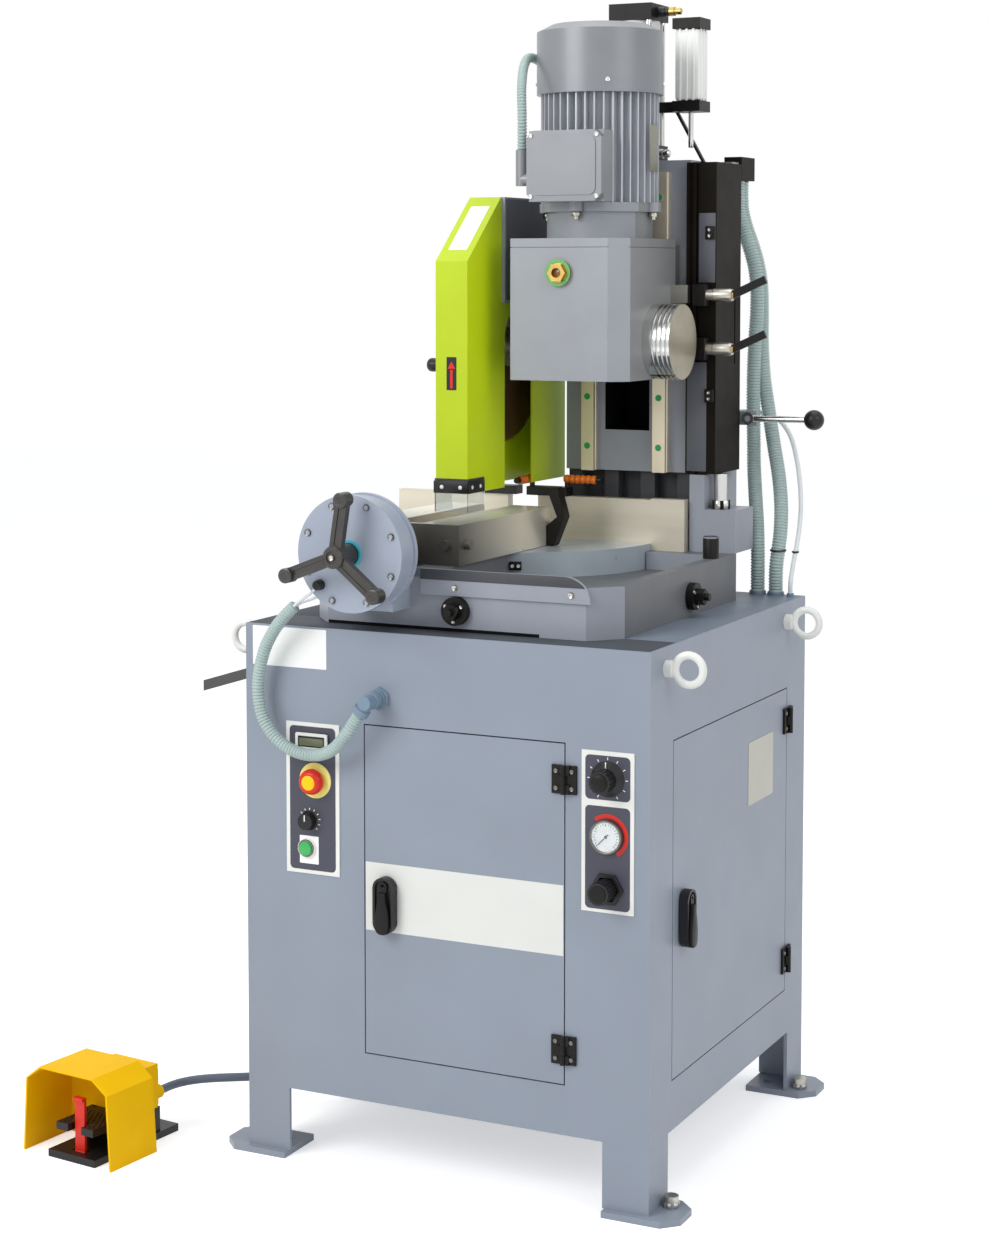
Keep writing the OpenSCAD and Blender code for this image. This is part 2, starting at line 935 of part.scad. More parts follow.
module control_plate_left() {
    color(dark) {
        difference() {
            span([left_plate_x, front_y - plate_t, left_plate_z],
                 [left_plate_x + left_plate_w, front_y, left_plate_z + left_plate_h]);
            for (p = left_holes)
                rod_y([p[0], front_y - plate_t - over, p[1]], p[2] + gap, plate_t + 2 * over);
        }
        span([display_x - display_w / 2, front_y - plate_t - display_t, display_z - display_h / 2],
             [display_x + display_w / 2, front_y - plate_t, display_z + display_h / 2]);
        ring_y = front_y - plate_t - start_ring_h;
        difference() {
            rod_y([start_x, ring_y, start_z], start_ring_r, start_ring_h);
            rod_y([start_x, ring_y - over, start_z], start_r + gap, start_ring_h + 2 * over);
        }
        difference() {
            rod_y([estop_x, front_y - 2 * plate_t, estop_z], estop_collar_r, plate_t);
            rod_y([estop_x, front_y - 2 * plate_t - over, estop_z], estop_stem_r + gap, plate_t + 2 * over);
        }
    }
}

module control_plate_right() {
    color(dark) {
        difference() {
            span([right_plate_x, front_y - plate_t, right_plate_z],
                 [right_plate_x + right_plate_w, front_y, right_plate_z + right_plate_h]);
            for (p = right_holes)
                rod_y([p[0], front_y - plate_t - over, p[1]], p[2] + gap, plate_t + 2 * over);
        }
        difference() {
            rod_y([panel_x, front_y - plate_t - gauge_h, gauge_z], gauge_r, gauge_h);
            rod_y([panel_x, front_y - plate_t - gauge_h - over, gauge_z], gauge_r - over, 2 * over);
        }
    }
}

module estop_button() {
    color("#e6462d") {
        rod_y([estop_x, front_y - 2 * plate_t - estop_travel - gap - estop_h, estop_z], estop_r, estop_h);
        rod_y([estop_x, front_y - 2 * plate_t - estop_travel - gap, estop_z], estop_stem_r,
              estop_travel + 2 * plate_t + sheet_t + shaft_l);
    }
}

module start_button() {
    out = plate_t + start_ring_h + start_travel + gap;
    color("#3fa65a") rod_y([start_x, front_y - out, start_z], start_r,
                           start_h + start_travel + plate_t + sheet_t + shaft_l);
}

// Fluted knob with a conical skirt, on a shaft through the panel
module knob(x, z, skirt_r, skirt_h, grip_r, grip_h, flutes) {
    skirt_y = front_y - plate_t - gap - skirt_h;
    translate([x, skirt_y, z]) rotate([-90, 0, 0]) cylinder(r1 = grip_r, r2 = skirt_r, h = skirt_h);
    difference() {
        rod_y([x, skirt_y - grip_h, z], grip_r, grip_h);
        for (k = [0 : flutes - 1]) translate([x, 0, z]) rotate([0, 360 / flutes * k, 0])
            rod_y([grip_r + over / 2, skirt_y - grip_h - over, 0], over, grip_h + over);
    }
    rod_y([x, front_y - plate_t - gap, z], shaft_r, plate_t + sheet_t + shaft_l);
}

module timer_knob() {
    color(black) knob(timer_x, timer_z, timer_r + over, over, timer_r, timer_h, timer_flutes);
}
module feed_dial() {
    color(black) knob(panel_x, dial_z, dial_r, dial_h, dial_grip_r, dial_grip_h, dial_flutes);
}
module regulator_knob() {
    color(black) knob(panel_x, regulator_z, regulator_r + over, over, regulator_r, regulator_h, regulator_flutes);
}

hose_ends = [
    [rear_route_a[len(rear_route_a) - 1], rear_hose_r], [rear_route_b[len(rear_route_b) - 1], rear_hose_r],
    [air_route[len(air_route) - 1], tube_r]];
outlet_h = 40;
cable_end = cable_route[len(cable_route) - 1];
outlet_wall = 5;
outlet_low = rear_route_a[0][2];

module hose_glands() {
    color(dark) {
        rod_y([gland_x, front_y - gland_h, gland_z], gland_r, gland_h);
        rod_y([gland_x, front_y - elbow_out - elbow_r, gland_z], elbow_r, elbow_out + elbow_r - over);
        translate([gland_x, front_y - elbow_out, gland_z]) rotate([0, elbow_angle, 0])
            cylinder(r = elbow_r, h = elbow_l);
        for (e = hose_ends)
            translate([e[0][0], e[0][1], cab_top]) cylinder(r = e[1] + over, h = rear_gland_h);
        translate([cable_end[0], cable_end[1], cab_floor - rear_gland_h])
            cylinder(r = cable_r + over, h = rear_gland_h);
        side = rear_hose_r + outlet_wall;
        span([rear_route_a[0][0] - side, col_y + plate_d + body_d + back_t, outlet_low],
             [rear_route_b[0][0] + side, rear_route_b[0][1] + side, outlet_low + outlet_h]);
    }
}

module coolant_tank() {
    color(paint_grey) difference() {
        slab(tank_x, 0, cab_floor + sheet_t, tank_w, tank_d, tank_h);
        slab(tank_x, 0, cab_floor + sheet_t + tank_wall, tank_w - 2 * tank_wall, tank_d - 2 * tank_wall,
             tank_h);
    }
    color(dark) {
        slab(tank_x, tank_d / 4, cab_floor + sheet_t + tank_h, tank_w, tank_d / 2, tank_lid);
        translate([tank_x, tank_d / 4, cab_floor + sheet_t + tank_h + tank_lid]) {
            cylinder(r = pump_r, h = pump_h);
            translate([0, 0, pump_h]) cylinder(r = pump_r - pump_cap_h, h = pump_cap_h);
        }
    }
}

base_back = base_front + base_d;
base_left = base_x - base_w / 2;
base_right = base_x + base_w / 2;
recess_z = base_top - recess_depth;

// Base outline with chamfered front corners, drawn in by a distance
function base_points(inset, back) = [
    [base_left + inset, back], [base_left + inset, base_front + base_chamfer_y + inset],
    [base_left + base_chamfer_x + inset, base_front + inset],
    [base_right - base_chamfer_x - inset, base_front + inset],
    [base_right - inset, base_front + base_chamfer_y + inset], [base_right - inset, back]];

// Disc of the turntable, trimmed to the base
module table_disc(r, side, back, z0, h) {
    translate([0, 0, z0]) linear_extrude(h) intersection() {
        translate([table_x, table_y]) circle(r = r, $fn = 96);
        translate([table_x - side, table_y - r - over]) square([2 * r + side, r + back + over]);
    }
}

jaw_z = table_z + jaw_rise;
jaw_left = blade_x - jaw_slit - jaw_w;
jaw_right = blade_x + jaw_slit;

module base_casting() {
    color(paint_grey) {
        difference() {
            union() {
                translate([0, 0, cab_top]) linear_extrude(base_h) polygon(base_points(0, base_back));
                translate([tail_x - tail_w / 2, base_back - over, cab_top])
                    cube([tail_w, tail_d + over, base_h]);
            }
            translate([0, 0, recess_z]) linear_extrude(base_h) polygon(base_points(rim_t, pad_y));
            table_disc(table_r + over, table_side + gap, table_back + gap, recess_z, base_h);
        }
        for (x = [jaw_left, jaw_right])
            span([x + way_in, base_front + rim_t + gap, recess_z],
                 [x + jaw_w - way_in, table_y - table_r - way_gap, jaw_z - gap]);
    }
    color(black) translate([base_right - stop_stud_r, stop_stud_y, base_top])
        cylinder(r = stop_stud_r, h = stop_stud_h);
}

module splash_plate() {
    color(paint_grey) translate([0, base_front, splash_z]) rotate([90, 0, 0]) linear_extrude(splash_t) {
        translate([splash_x, 0]) square([splash_l, splash_h]);
        intersection() {
            translate([splash_x + splash_l, 0]) circle(r = splash_h);
            translate([splash_x + splash_l - over, 0]) square([splash_h + over, splash_h]);
        }
    }
}

// Round clamp with a hexagonal boss, along +Z
module base_clamp() {
    cylinder(r = clamp_r, h = clamp_t);
    hex_z([0, 0, clamp_t], clamp_boss_r, clamp_boss_h);
    translate([0, 0, clamp_t + clamp_boss_h]) cylinder(r = clamp_stud_r, h = clamp_stud_h);
}

module base_clamps() {
    color(black) {
        translate([clamp_front_x, base_front, clamp_z]) rotate([90, 0, 0]) base_clamp();
        translate([base_right, clamp_side_y, clamp_z]) rotate([0, 90, 0]) base_clamp();
    }
}

module turntable() {
    color(steel) difference() {
        table_disc(table_r, table_side, table_back, recess_z, table_z - recess_z);
        span([blade_x - slot_w / 2, table_y - table_r - over, table_z - slot_depth],
             [blade_x + slot_w / 2, table_y + table_back + over, table_z + over]);
    }
}

fence_top = table_z + fence_h;
fence_left_end = blade_x - fence_gap_left - fence_left_l;
fence_right_start = blade_x + fence_gap_right;

module fence() {
    color(steel) {
        translate([0, fence_y + fence_t, 0]) rotate([90, 0, 0]) linear_extrude(fence_t) polygon([
            [fence_right_start, table_z], [fence_low_x, table_z], [fence_low_x, base_top],
            [fence_right_start + fence_right_l, base_top],
            [fence_right_start + fence_right_l, fence_top + fence_step],
            [fence_low_x, fence_top + fence_step], [fence_low_x, fence_top], [fence_right_start, fence_top]]);
        span([fence_left_end, fence_y, table_z],
             [fence_left_end + fence_left_l, fence_y + fence_t, fence_top]);
    }
}

// Flexible coolant nozzle along +X: joints with a neck between them, and a tip
module ball_row() {
    for (k = [0 : ball_count - 1]) rod_x([k * ball_step - ball_r / 2, 0, 0], ball_r, ball_r);
    rod_x([0, 0, 0], neck_r, ball_count * ball_step + neck_r);
}

module coolant_blocks() {
    block_y = fence_y + fence_t - block_d;
    color(black) {
        span([blade_x + block_gap, block_y, fence_top],
             [blade_x + block_gap + block_right_l, block_y + block_d, fence_top + block_h]);
        span([blade_x - block_gap - block_left_l, block_y, fence_top],
             [blade_x - block_gap, block_y + block_d, fence_top + block_h]);
    }
    nozzle_z = fence_top + block_h + post_h;
    color("#fa8214") {
        for (n = [[nozzle_right_x, nozzle_right_y, 0], [nozzle_left_x, nozzle_left_y, -90]])
            translate([n[0], n[1], nozzle_z]) {
                rotate([0, 0, n[2]]) ball_row();
                translate([0, 0, -post_h]) cylinder(r = neck_r, h = post_h);
            }
    }
}

vice_back = vice_front + cover_t + vice_body_t + vice_flange_t;
vice_r = vice_d / 2;

module vice_cylinder() {
    color("#a5acbe") difference() {
        union() {
            rod_y([blade_x, vice_front, vice_z], vice_r, cover_t);
            rod_y([blade_x, vice_front + cover_t, vice_z], vice_r - vice_step, vice_body_t);
            rod_y([blade_x, vice_front + cover_t + vice_body_t, vice_z], vice_r, vice_flange_t);
            rod_y([blade_x, vice_back, vice_z], spigot_r, base_front - vice_back);
            span([blade_x - spigot_r, vice_back, clamp_z], [blade_x + spigot_r, base_front, vice_z]);
            for (k = [0 : cap_screws - 1])
                translate([blade_x, 0, vice_z]) rotate([0, 360 / cap_screws * (k + half_share), 0])
                    rod_y([vice_r - cap_ring_in, vice_front - cap_screw_h, 0], cap_screw_r, cap_screw_h + over);
            translate([blade_x, 0, vice_z]) rotate([0, -air_fit_angle, 0])
                rod_y([vice_r * air_fit_share, vice_front - air_fit_l, 0], air_fit_r, air_fit_l + over);
        }
        rod_y([blade_x, vice_front + cover_t, vice_z], rod_r + run_fit, base_front - vice_front);
        rod_y([blade_x, vice_front - over, vice_z], screw_r + run_fit, cover_t + 2 * over);
    }
}

module vice_jaw() {
    color(steel) difference() {
        union() {
            for (x = [jaw_left, jaw_right])
                span([x, jaw_front + jaw_plate_t, jaw_z], [x + jaw_w, jaw_front + jaw_l, jaw_z + jaw_h]);
            span([jaw_left, jaw_front, jaw_z], [jaw_right + jaw_w, jaw_front + jaw_plate_t, jaw_z + jaw_h]);
            rod_y([blade_x, jaw_front - rod_back, vice_z], rod_r, rod_back + over);
            rod_y([jaw_right + jaw_w - bracket_w, jaw_front - stop_bolt_l, vice_z], stop_bolt_r,
                  stop_bolt_l + over);
            rod_x([jaw_right + jaw_w - over, jaw_front + 2 * jaw_plate_t, vice_z], stop_bolt_r,
                  stop_bolt_l + over);
        }
        rod_y([blade_x, jaw_front - rod_back - over, vice_z], screw_r + run_fit,
              rod_back + over + jaw_plate_t / 2);
        span([jaw_right - over, jaw_front + jaw_l - jaw_tip_in, jaw_z + jaw_h - jaw_tip_in],
             [jaw_right + jaw_w + over, jaw_front + jaw_l + over, jaw_z + jaw_h + over]);
    }
}

// Bent black deflector at the end of the right jaw
module jaw_bracket() {
    x0 = jaw_right + jaw_w;
    y0 = jaw_front + jaw_l - bracket_w;
    color(black) translate([x0, y0 + bracket_w, jaw_z]) rotate([90, 0, 0]) linear_extrude(bracket_w)
        polygon([
            [0, 0], [bracket_t, 0], [bracket_t + bracket_bulge, bracket_h / 2], [bracket_bulge, bracket_h],
            [0, bracket_h], [bracket_bulge, bracket_h / 2], [0, bracket_h / 3]]);
}

// Handle arm with flutes on its faces and a round pad at its end
module handle_arm() {
    difference() {
        translate([0, -arm_t / 2, -arm_w / 2]) cube([handle_reach, arm_t, arm_w]);
        for (y = [-1, 1]) translate([hub_r + over, y * arm_t / 2 - arm_flute / 4, -arm_flute / 2])
            cube([handle_reach - hub_r - pad_r - 2 * over, arm_flute / 2, arm_flute]);
    }
    rod_y([handle_reach, -pad_l / 2, 0], pad_r, pad_l);
}

module vice_handle() {
    color(dark) {
        difference() {
            union() {
                rod_y([blade_x, vice_front - gap - hub_l, vice_z], hub_r, hub_l);
                for (k = [0 : 2]) translate([blade_x, vice_front - hub_l + arm_t / 2, vice_z])
                    rotate([0, -handle_angle - 120 * k, 0]) handle_arm();
            }
            rod_y([blade_x, vice_front - gap - hub_l - over, vice_z], screw_r, over + arm_flute);
        }
        rod_y([blade_x, vice_front - gap, vice_z], screw_r, screw_back);
    }
}

col_left = head_x - col_w / 2;
col_right = head_x + col_w / 2;
col_top = col_z + col_h;
body_top = col_top;
body_y = col_y + plate_d;
back_y = body_y + body_d;

rib_step = (col_w - rib_w) / (ribs - 1);

module column() {
    color(paint_grey) {
        difference() {
            union() {
                span([col_left, col_y, col_z], [col_right, body_y, col_top]);
                span([col_left, body_y - over, base_top], [col_right - over, back_y, body_top]);
                span([col_left, back_y, base_top], [back_right, back_y + back_t, body_top]);
                for (k = [0 : ribs - 1])
                    span([col_left + k * rib_step, rib_y, base_top],
                         [col_left + k * rib_step + rib_w, body_y + over, col_z + over]);
                span([foot_left, foot_front, base_top], [foot_step_x, back_y + over, foot_block_z]);
                span([foot_step_x - over, foot_front, base_top], [base_right, foot_rear, foot_step_z]);
                span([col_right - over, body_y, base_top], [foot_left + over, back_y + over, foot_block_z]);
                slab(head_x, cyl_y, col_top - cap_plate_t, feed_side + feed_cap_h, feed_side + over,
                     cap_plate_t);
                span([guard_right, guard_slope_y + over, guard_arm_z],
                     [guard_right + mount_t, guard_arm_y + guard_arm_d, guard_top]);
                span([guard_right, guard_arm_y, guard_arm_z],
                     [col_left + over, guard_arm_y + guard_arm_d, guard_arm_z + guard_arm_h]);
            }
            span([head_x - window_w / 2, col_y - over, col_z + window_low],
                 [head_x + window_w / 2, back_y, col_top - cap_plate_t]);
            translate([head_x, cyl_y, col_top - cap_plate_t - over])
                cylinder(r = feed_rod_r + over, h = cap_plate_t + 2 * over);
            span([col_left - over, back_y - over, base_top - over],
                 [foot_left, back_y + back_t + over, back_low]);
        }
        span([back_right - over, back_y + ear_w / 2, pivot_z - ear_w / 2],
             [pivot_x + ear_w / 2, back_y + ear_w / 2 + ear_t, pivot_z + ear_w / 2]);
        rod_y([pivot_x, back_y + ear_w / 2 - ball_hub_t, pivot_z], pivot_r, ball_hub_t + over);
    }
}

module guide_rails() {
    rail_z = col_z;
    rail_l = col_h - cap_plate_t;
    rail_xs = [head_x - rail_pitch / 2, head_x + rail_pitch / 2];
    color(bright) for (x = rail_xs) difference() {
        slab(x, col_y - rail_h / 2, rail_z, rail_w, rail_h, rail_l);
        for (s = [-1, 1]) translate([x + s * rail_w / 2, col_y - rail_h / 2, rail_z - over])
            cylinder(r = rail_cap_r / 2, h = rail_l + 2 * over);
    }
    color("#19a050") for (x = rail_xs, k = [0 : rail_holes - 1])
        rod_y([x, col_y - rail_h - rail_cap_t, rail_z + rail_l * (k + half_share) / rail_holes],
              rail_cap_r, rail_cap_t);
}

module column_cover() {
    color(black) {
        difference() {
            span([col_right + gap, cover_front, cover_low], [cover_right, back_y - gap, cover_top]);
            span([col_right - over, cover_front + cover_wall + cover_groove_d, cover_low + cover_wall],
                 [cover_right - cover_wall, back_y + over, cover_top - cover_wall]);
            span([cover_right - cover_wall - over, back_y - body_d / 2, cover_slot_low],
                 [cover_right + over, back_y - body_d / 2 + cover_slot_w, cover_slot_low + cover_slot_h]);
            for (k = [1, 3])
                span([col_right + cover_groove * k, cover_front - over, cover_low - over],
                     [col_right + cover_groove * (k + 1), cover_front + cover_groove_d, cover_top + over]);
        }
    }
    color(bright) translate([foot_step_x + rod_nut_r + over, cover_front + 2 * rod_stop_r, foot_step_z]) {
        cylinder(r = rod_stop_r, h = cover_low - foot_step_z);
        hex_z([0, 0, 0], rod_nut_r, rod_nut_h);
    }
}

module stop_dogs() {
    color(black) for (z = [dog_low_z, dog_high_z])
        slab(dog_x + dog_w / 2, cover_front - dog_d / 2, z - dog_h / 2, dog_w, dog_d, dog_h);
}

// Clamp lever: a hub along +X with a flat arm that leans up
module clamp_lever(z) {
    hub_y = cover_front - dog_d / 2;
    color(steel) rod_x([dog_x + dog_w + gap, hub_y, z], lever_hub_r, lever_hub_l);
    color(black) translate([dog_x + dog_w + gap + lever_hub_l, hub_y, z]) rotate([0, -lever_angle, 0])
        translate([0, -lever_t / 2, -lever_w / 2]) cube([lever_l, lever_t, lever_w]);
}
module clamp_lever_upper() { clamp_lever(dog_high_z); }
module clamp_lever_lower() { clamp_lever(dog_low_z); }

module ball_lever() {
    hub_y = back_y + ear_w / 2 - ball_hub_t;
    color(bright) {
        difference() {
            union() {
                rod_y([pivot_x, hub_y, pivot_z], ball_hub_r, ball_hub_t - gap);
                rod_x([pivot_x, hub_y + ball_hub_t / 2, pivot_z], ball_hub_t / 2 - gap, ball_lever_l);
            }
            rod_y([pivot_x, hub_y - over, pivot_z], pivot_r + run_fit, ball_hub_t + 2 * over);
        }
        translate([pivot_x + ball_lever_l, hub_y + ball_hub_t / 2, pivot_z]) sphere(r = ball_end_r);
    }
}

module feed_cylinder() {
    barrel_l = feed_h - 2 * feed_cap_h;
    color(black) difference() {
        for (z = [0, feed_h - feed_cap_h])
            slab(head_x, cyl_y, col_top + z, feed_side, feed_side, feed_cap_h);
        translate([head_x, cyl_y, col_top - over])
            cylinder(r = feed_rod_r + run_fit, h = feed_cap_h + 2 * over);
    }
    color(bright) translate([head_x, cyl_y, col_top + feed_cap_h]) difference() {
        cylinder(r = feed_bore_r + feed_wall, h = barrel_l);
        translate([0, 0, -over]) cylinder(r = feed_bore_r, h = barrel_l + 2 * over);
    }
}

module oil_cylinder() {
    color(bright) translate([oil_x, cyl_y, oil_low + oil_cap_h])
        cylinder(r = oil_r, h = oil_h - 2 * oil_cap_h);
    color(black) {
        for (z = [0, oil_h - oil_cap_h]) slab(oil_x, cyl_y, oil_low + z, oil_side, oil_side, oil_cap_h);
        span([head_x + feed_bore_r + feed_wall, cyl_y - oil_strap_t / 2, oil_low],
             [oil_x - oil_side / 2, cyl_y + oil_strap_t / 2, oil_low + oil_cap_h]);
    }
    color(bright) translate([oil_x, cyl_y, oil_low - oil_rod_l]) cylinder(r = oil_rod_r, h = oil_rod_l);
}

// Side outline of the guard, drawn in by a distance, as [y, z] points
function guard_points(inset) = [
    [guard_front + inset, guard_low - (inset > 0 ? over : 0)], [guard_front + inset, guard_bend],
    [guard_slope_y + inset, guard_top - inset], [guard_back - inset, guard_top - inset],
    [guard_back - inset, guard_low - (inset > 0 ? over : 0)]];

module guard_prism(x, w, inset) {
    translate([x, 0, 0]) rotate([90, 0, 90]) linear_extrude(w) polygon(guard_points(inset));
}

guard_left = blade_x - guard_w / 2 + guard_offset;
guard_right = guard_left + guard_w;

module blade_guard() {
    color(lime) {
        difference() {
            guard_prism(guard_left, guard_w, 0);
            guard_prism(guard_left + guard_wall, guard_w - 2 * guard_wall, guard_wall);
            rod_x([guard_right - guard_wall - over, blade_y, spindle_z], guard_slot_w / 2, guard_wall + 2 * over);
            span([guard_right - guard_wall - over, blade_y - guard_slot_w / 2, guard_low - over],
                 [guard_right + over, blade_y + guard_slot_w / 2, spindle_z]);
        }
    }
    color(black) rod_x([guard_left - guard_knob_l, guard_knob_y, guard_knob_z], guard_knob_r, guard_knob_l);
}

module guard_flap() {
    color("#d8dce0", 0.5) difference() {
        span([guard_left - flap_t, guard_front - flap_t, flap_low],
             [guard_right + flap_t, guard_front + flap_side, guard_low + flap_lap]);
        span([guard_left, guard_front, flap_low - over],
             [guard_right, guard_front + flap_side + over, guard_low + flap_lap + over]);
    }
}

gear_left = head_x - gear_w / 2;
gear_right = head_x + gear_w / 2;
motor_z = gear_top + adapter_h + flange_t;
cowl_z = motor_z + motor_h;

module gearbox() {
    color(paint_grey) difference() {
        translate([0, 0, gear_z]) linear_extrude(gear_h) polygon([
            [gear_left, gear_front], [gear_right - gear_chamfer_x, gear_front],
            [gear_right, gear_front + gear_chamfer_y], [gear_right, gear_back], [gear_left, gear_back]]);
        span([gear_left + gear_wall, gear_front + 2 * gear_wall, gear_z + gear_floor],
             [gear_right - gear_wall, gear_back - gear_wall, gear_top - gear_wall]);
        rod_x([gear_left - over, blade_y, spindle_z], spindle_d / 2 + run_fit, gear_wall + 2 * over);
        rod_x([gear_right - gear_wall - over, blade_y, spindle_z], spindle_d / 2 + run_fit, gear_wall + 2 * over);
        translate([head_x, motor_y, gear_top - gear_wall - over])
            cylinder(r = rotor_shaft_r + run_fit, h = gear_wall + 2 * over);
        difference() {
            span([gear_left - over, gear_front - over, gear_top - lid_h],
                 [gear_right + over, gear_back + over, gear_top - lid_h + lid_groove / 2]);
            span([gear_left + lid_groove, gear_front + lid_groove, gear_top - lid_h - over],
                 [gear_right - lid_groove, gear_back - lid_groove, gear_top - lid_h + lid_groove]);
        }
    }
    color(paint_grey) translate([head_x, motor_y, gear_top]) difference() {
        union() {
            cylinder(r = adapter_d / 2, h = adapter_h);
            translate([0, 0, adapter_h]) cylinder(r = flange_side / 2, h = flange_t);
            for (turn = [0 : 90 : 270]) rotate([0, 0, turn])
                translate([lug_out, 0, adapter_h]) cylinder(r = lug_r, h = flange_t);
        }
        translate([0, 0, -over]) cylinder(r = frame_bore_r, h = adapter_h + flange_t + 2 * over);
    }
}

module bearing_cap() {
    color(bright) translate([gear_right, blade_y, spindle_z]) rotate([0, 90, 0]) difference() {
        cylinder(r = cap_r, h = cap_l, $fn = 72);
        for (k = [0 : cap_grooves - 1]) translate([0, 0, cap_rim + 2 * k * cap_groove]) difference() {
            cylinder(r = cap_r + over, h = cap_groove);
            translate([0, 0, -over]) cylinder(r = cap_r - cap_groove_d, h = cap_groove + 2 * over);
        }
    }
}

module sight_glass() {
    translate([head_x + sight_x, gear_front, gear_top - sight_drop]) rotate([90, 0, 0]) {
        color("#c8a860") difference() {
            union() {
                cylinder(r = sight_r, h = sight_h);
                hex_z([0, 0, sight_h], sight_nut_r, sight_nut_h);
            }
            translate([0, 0, sight_h]) cylinder(r = sight_nut_r / 2, h = sight_nut_h + over);
        }
    }
}

module motor_frame() {
    color(paint_grey) translate([head_x, motor_y, motor_z]) difference() {
        linear_extrude(motor_h) {
            circle(r = motor_d / 2 * frame_share);
            for (k = [0 : fin_count - 1])
                rotate(360 / fin_count * k) translate([0, -fin_t / 2]) square([motor_d / 2, fin_t]);
        }
        translate([0, 0, -over]) cylinder(r = frame_bore_r, h = motor_h + 2 * over);
        translate([-box_w / 2 - over, -motor_d, -over])
            cube([box_w + 2 * over, motor_d - motor_y + box_back_y, box_h + 2 * over]);
    }
}

module fan_cowl() {
    color(paint_grey) translate([head_x, motor_y, cowl_z]) difference() {
        rotate_extrude($fn = 72) polygon([
            [0, 0], [cowl_d / 2, 0], [cowl_d / 2, cowl_h - cowl_chamfer],
            [cowl_d / 2 - 2 * cowl_chamfer, cowl_h], [0, cowl_h]]);
        translate([0, 0, cowl_wall]) rotate_extrude($fn = 72) polygon([
            [0, 0], [cowl_d / 2 - cowl_wall, 0], [cowl_d / 2 - cowl_wall, cowl_h - cowl_chamfer - 2 * cowl_wall],
            [cowl_d / 2 - 2 * cowl_chamfer - cowl_wall, cowl_h - 2 * cowl_wall], [0, cowl_h - 2 * cowl_wall]]);
        translate([0, 0, -over]) cylinder(r = rotor_shaft_r + over, h = cowl_wall + 2 * over);
        for (k = [0 : cowl_slots - 1]) rotate(360 / cowl_slots * k)
            translate([cowl_slot_in, -cowl_slot_w / 2, cowl_h - cowl_wall - over])
                cube([cowl_slot_out - cowl_slot_in, cowl_slot_w, cowl_wall + 2 * over]);
    }
}

// Route of the motor's conduit, from the elbow on the terminal box down to the carriage
conduit_bends = [
    [-32, 10, 85], [-32, 10, 109], [-33, 11.5, 145], [-40, 25, 189], [-54, 65.5, 229], [-66, 121, 244],
    [-62, 176.5, 229], [-46, 217, 188.5], [-37, 231.5, 140], [-35, 232, 85], [-35, 232, 35],
    [-35, 232, -1], [-35, 232, -37]];
conduit_route = [for (p = conduit_bends) p + [0, 0, motor_z]];
conduit_foot = conduit_route[0];

// Terminal box on the front of the motor, with its chamfered lid
module terminal_box() {
    back = box_back_y;
    front = back - box_d;
    color(paint_grey) {
        span([head_x - box_w / 2, front + box_lid_t, motor_z], [head_x + box_w / 2, back, motor_z + box_h]);
        translate([head_x, front + box_lid_t, motor_z]) rotate([90, 0, 0]) linear_extrude(box_lid_t) polygon([
            [-box_w / 2 + box_chamfer, 0], [box_w / 2 - box_chamfer, 0], [box_w / 2, box_chamfer],
            [box_w / 2, box_h - box_chamfer], [box_w / 2 - box_chamfer, box_h], [-box_w / 2 + box_chamfer, box_h],
            [-box_w / 2, box_h - box_chamfer], [-box_w / 2, box_chamfer]]);
        rod_x([conduit_foot[0], conduit_foot[1], conduit_foot[2] - joint_drop], joint_r,
              head_x - box_w / 2 - conduit_foot[0]);
        translate([conduit_foot[0], conduit_foot[1], conduit_foot[2] - joint_drop - joint_r])
            cylinder(r = joint_r, h = joint_drop + joint_r);
    }
}

module carriage() {
    color(bright) {
        for (x = [head_x - rail_pitch / 2, head_x + rail_pitch / 2],
             z = [gear_z + block_end, gear_top - block_end - block_len]) difference() {
            slab(x, gear_back + block_t / 2, z, block_w, block_t, block_len);
            slab(x, col_y - rail_h / 2, z - over, rail_w + 2 * gap, rail_h + 2 * rail_cap_t + gap,
                 block_len + 2 * over);
        }
    }
    color(paint_grey) {
        span([head_x - lug_w / 2, gear_back, lug_z], [head_x + lug_w / 2, cyl_y + lug_end, lug_z + lug_h]);
        span([gear_right, gear_back - trip_d, trip_z], [dog_x - trip_gap, gear_back, trip_z + trip_h]);
        far = conduit_route[len(conduit_route) - 1];
        translate([far[0], far[1], gear_top - block_end])
            cylinder(r = conduit_r + over, h = far[2] - gear_top + block_end);
    }
}

module feed_rod() {
    rod_low = lug_z + lug_h;
    piston_top = col_top + feed_h - feed_cap_h - piston_gap;
    color(bright) translate([head_x, cyl_y, 0]) {
        translate([0, 0, rod_low]) cylinder(r = feed_rod_r, h = piston_top - rod_low);
        translate([0, 0, piston_top - piston_h]) cylinder(r = feed_bore_r - gap, h = piston_h);
    }
}

crown_x = head_x + pinion_r - pinion_mesh;
pinion_z = spindle_z + crown_r - pinion_h;

// Outline of a wheel with straight teeth of one width
function tooth_points(teeth, root, tip, w) = [
    for (k = [0 : teeth - 1], e = [[root, -1], [tip, -1], [tip, 1], [root, 1]])
        let (a = 360 / teeth * (k + half_share) + e[1] * asin(w / 2 / e[0])) e[0] * [cos(a), sin(a)]];

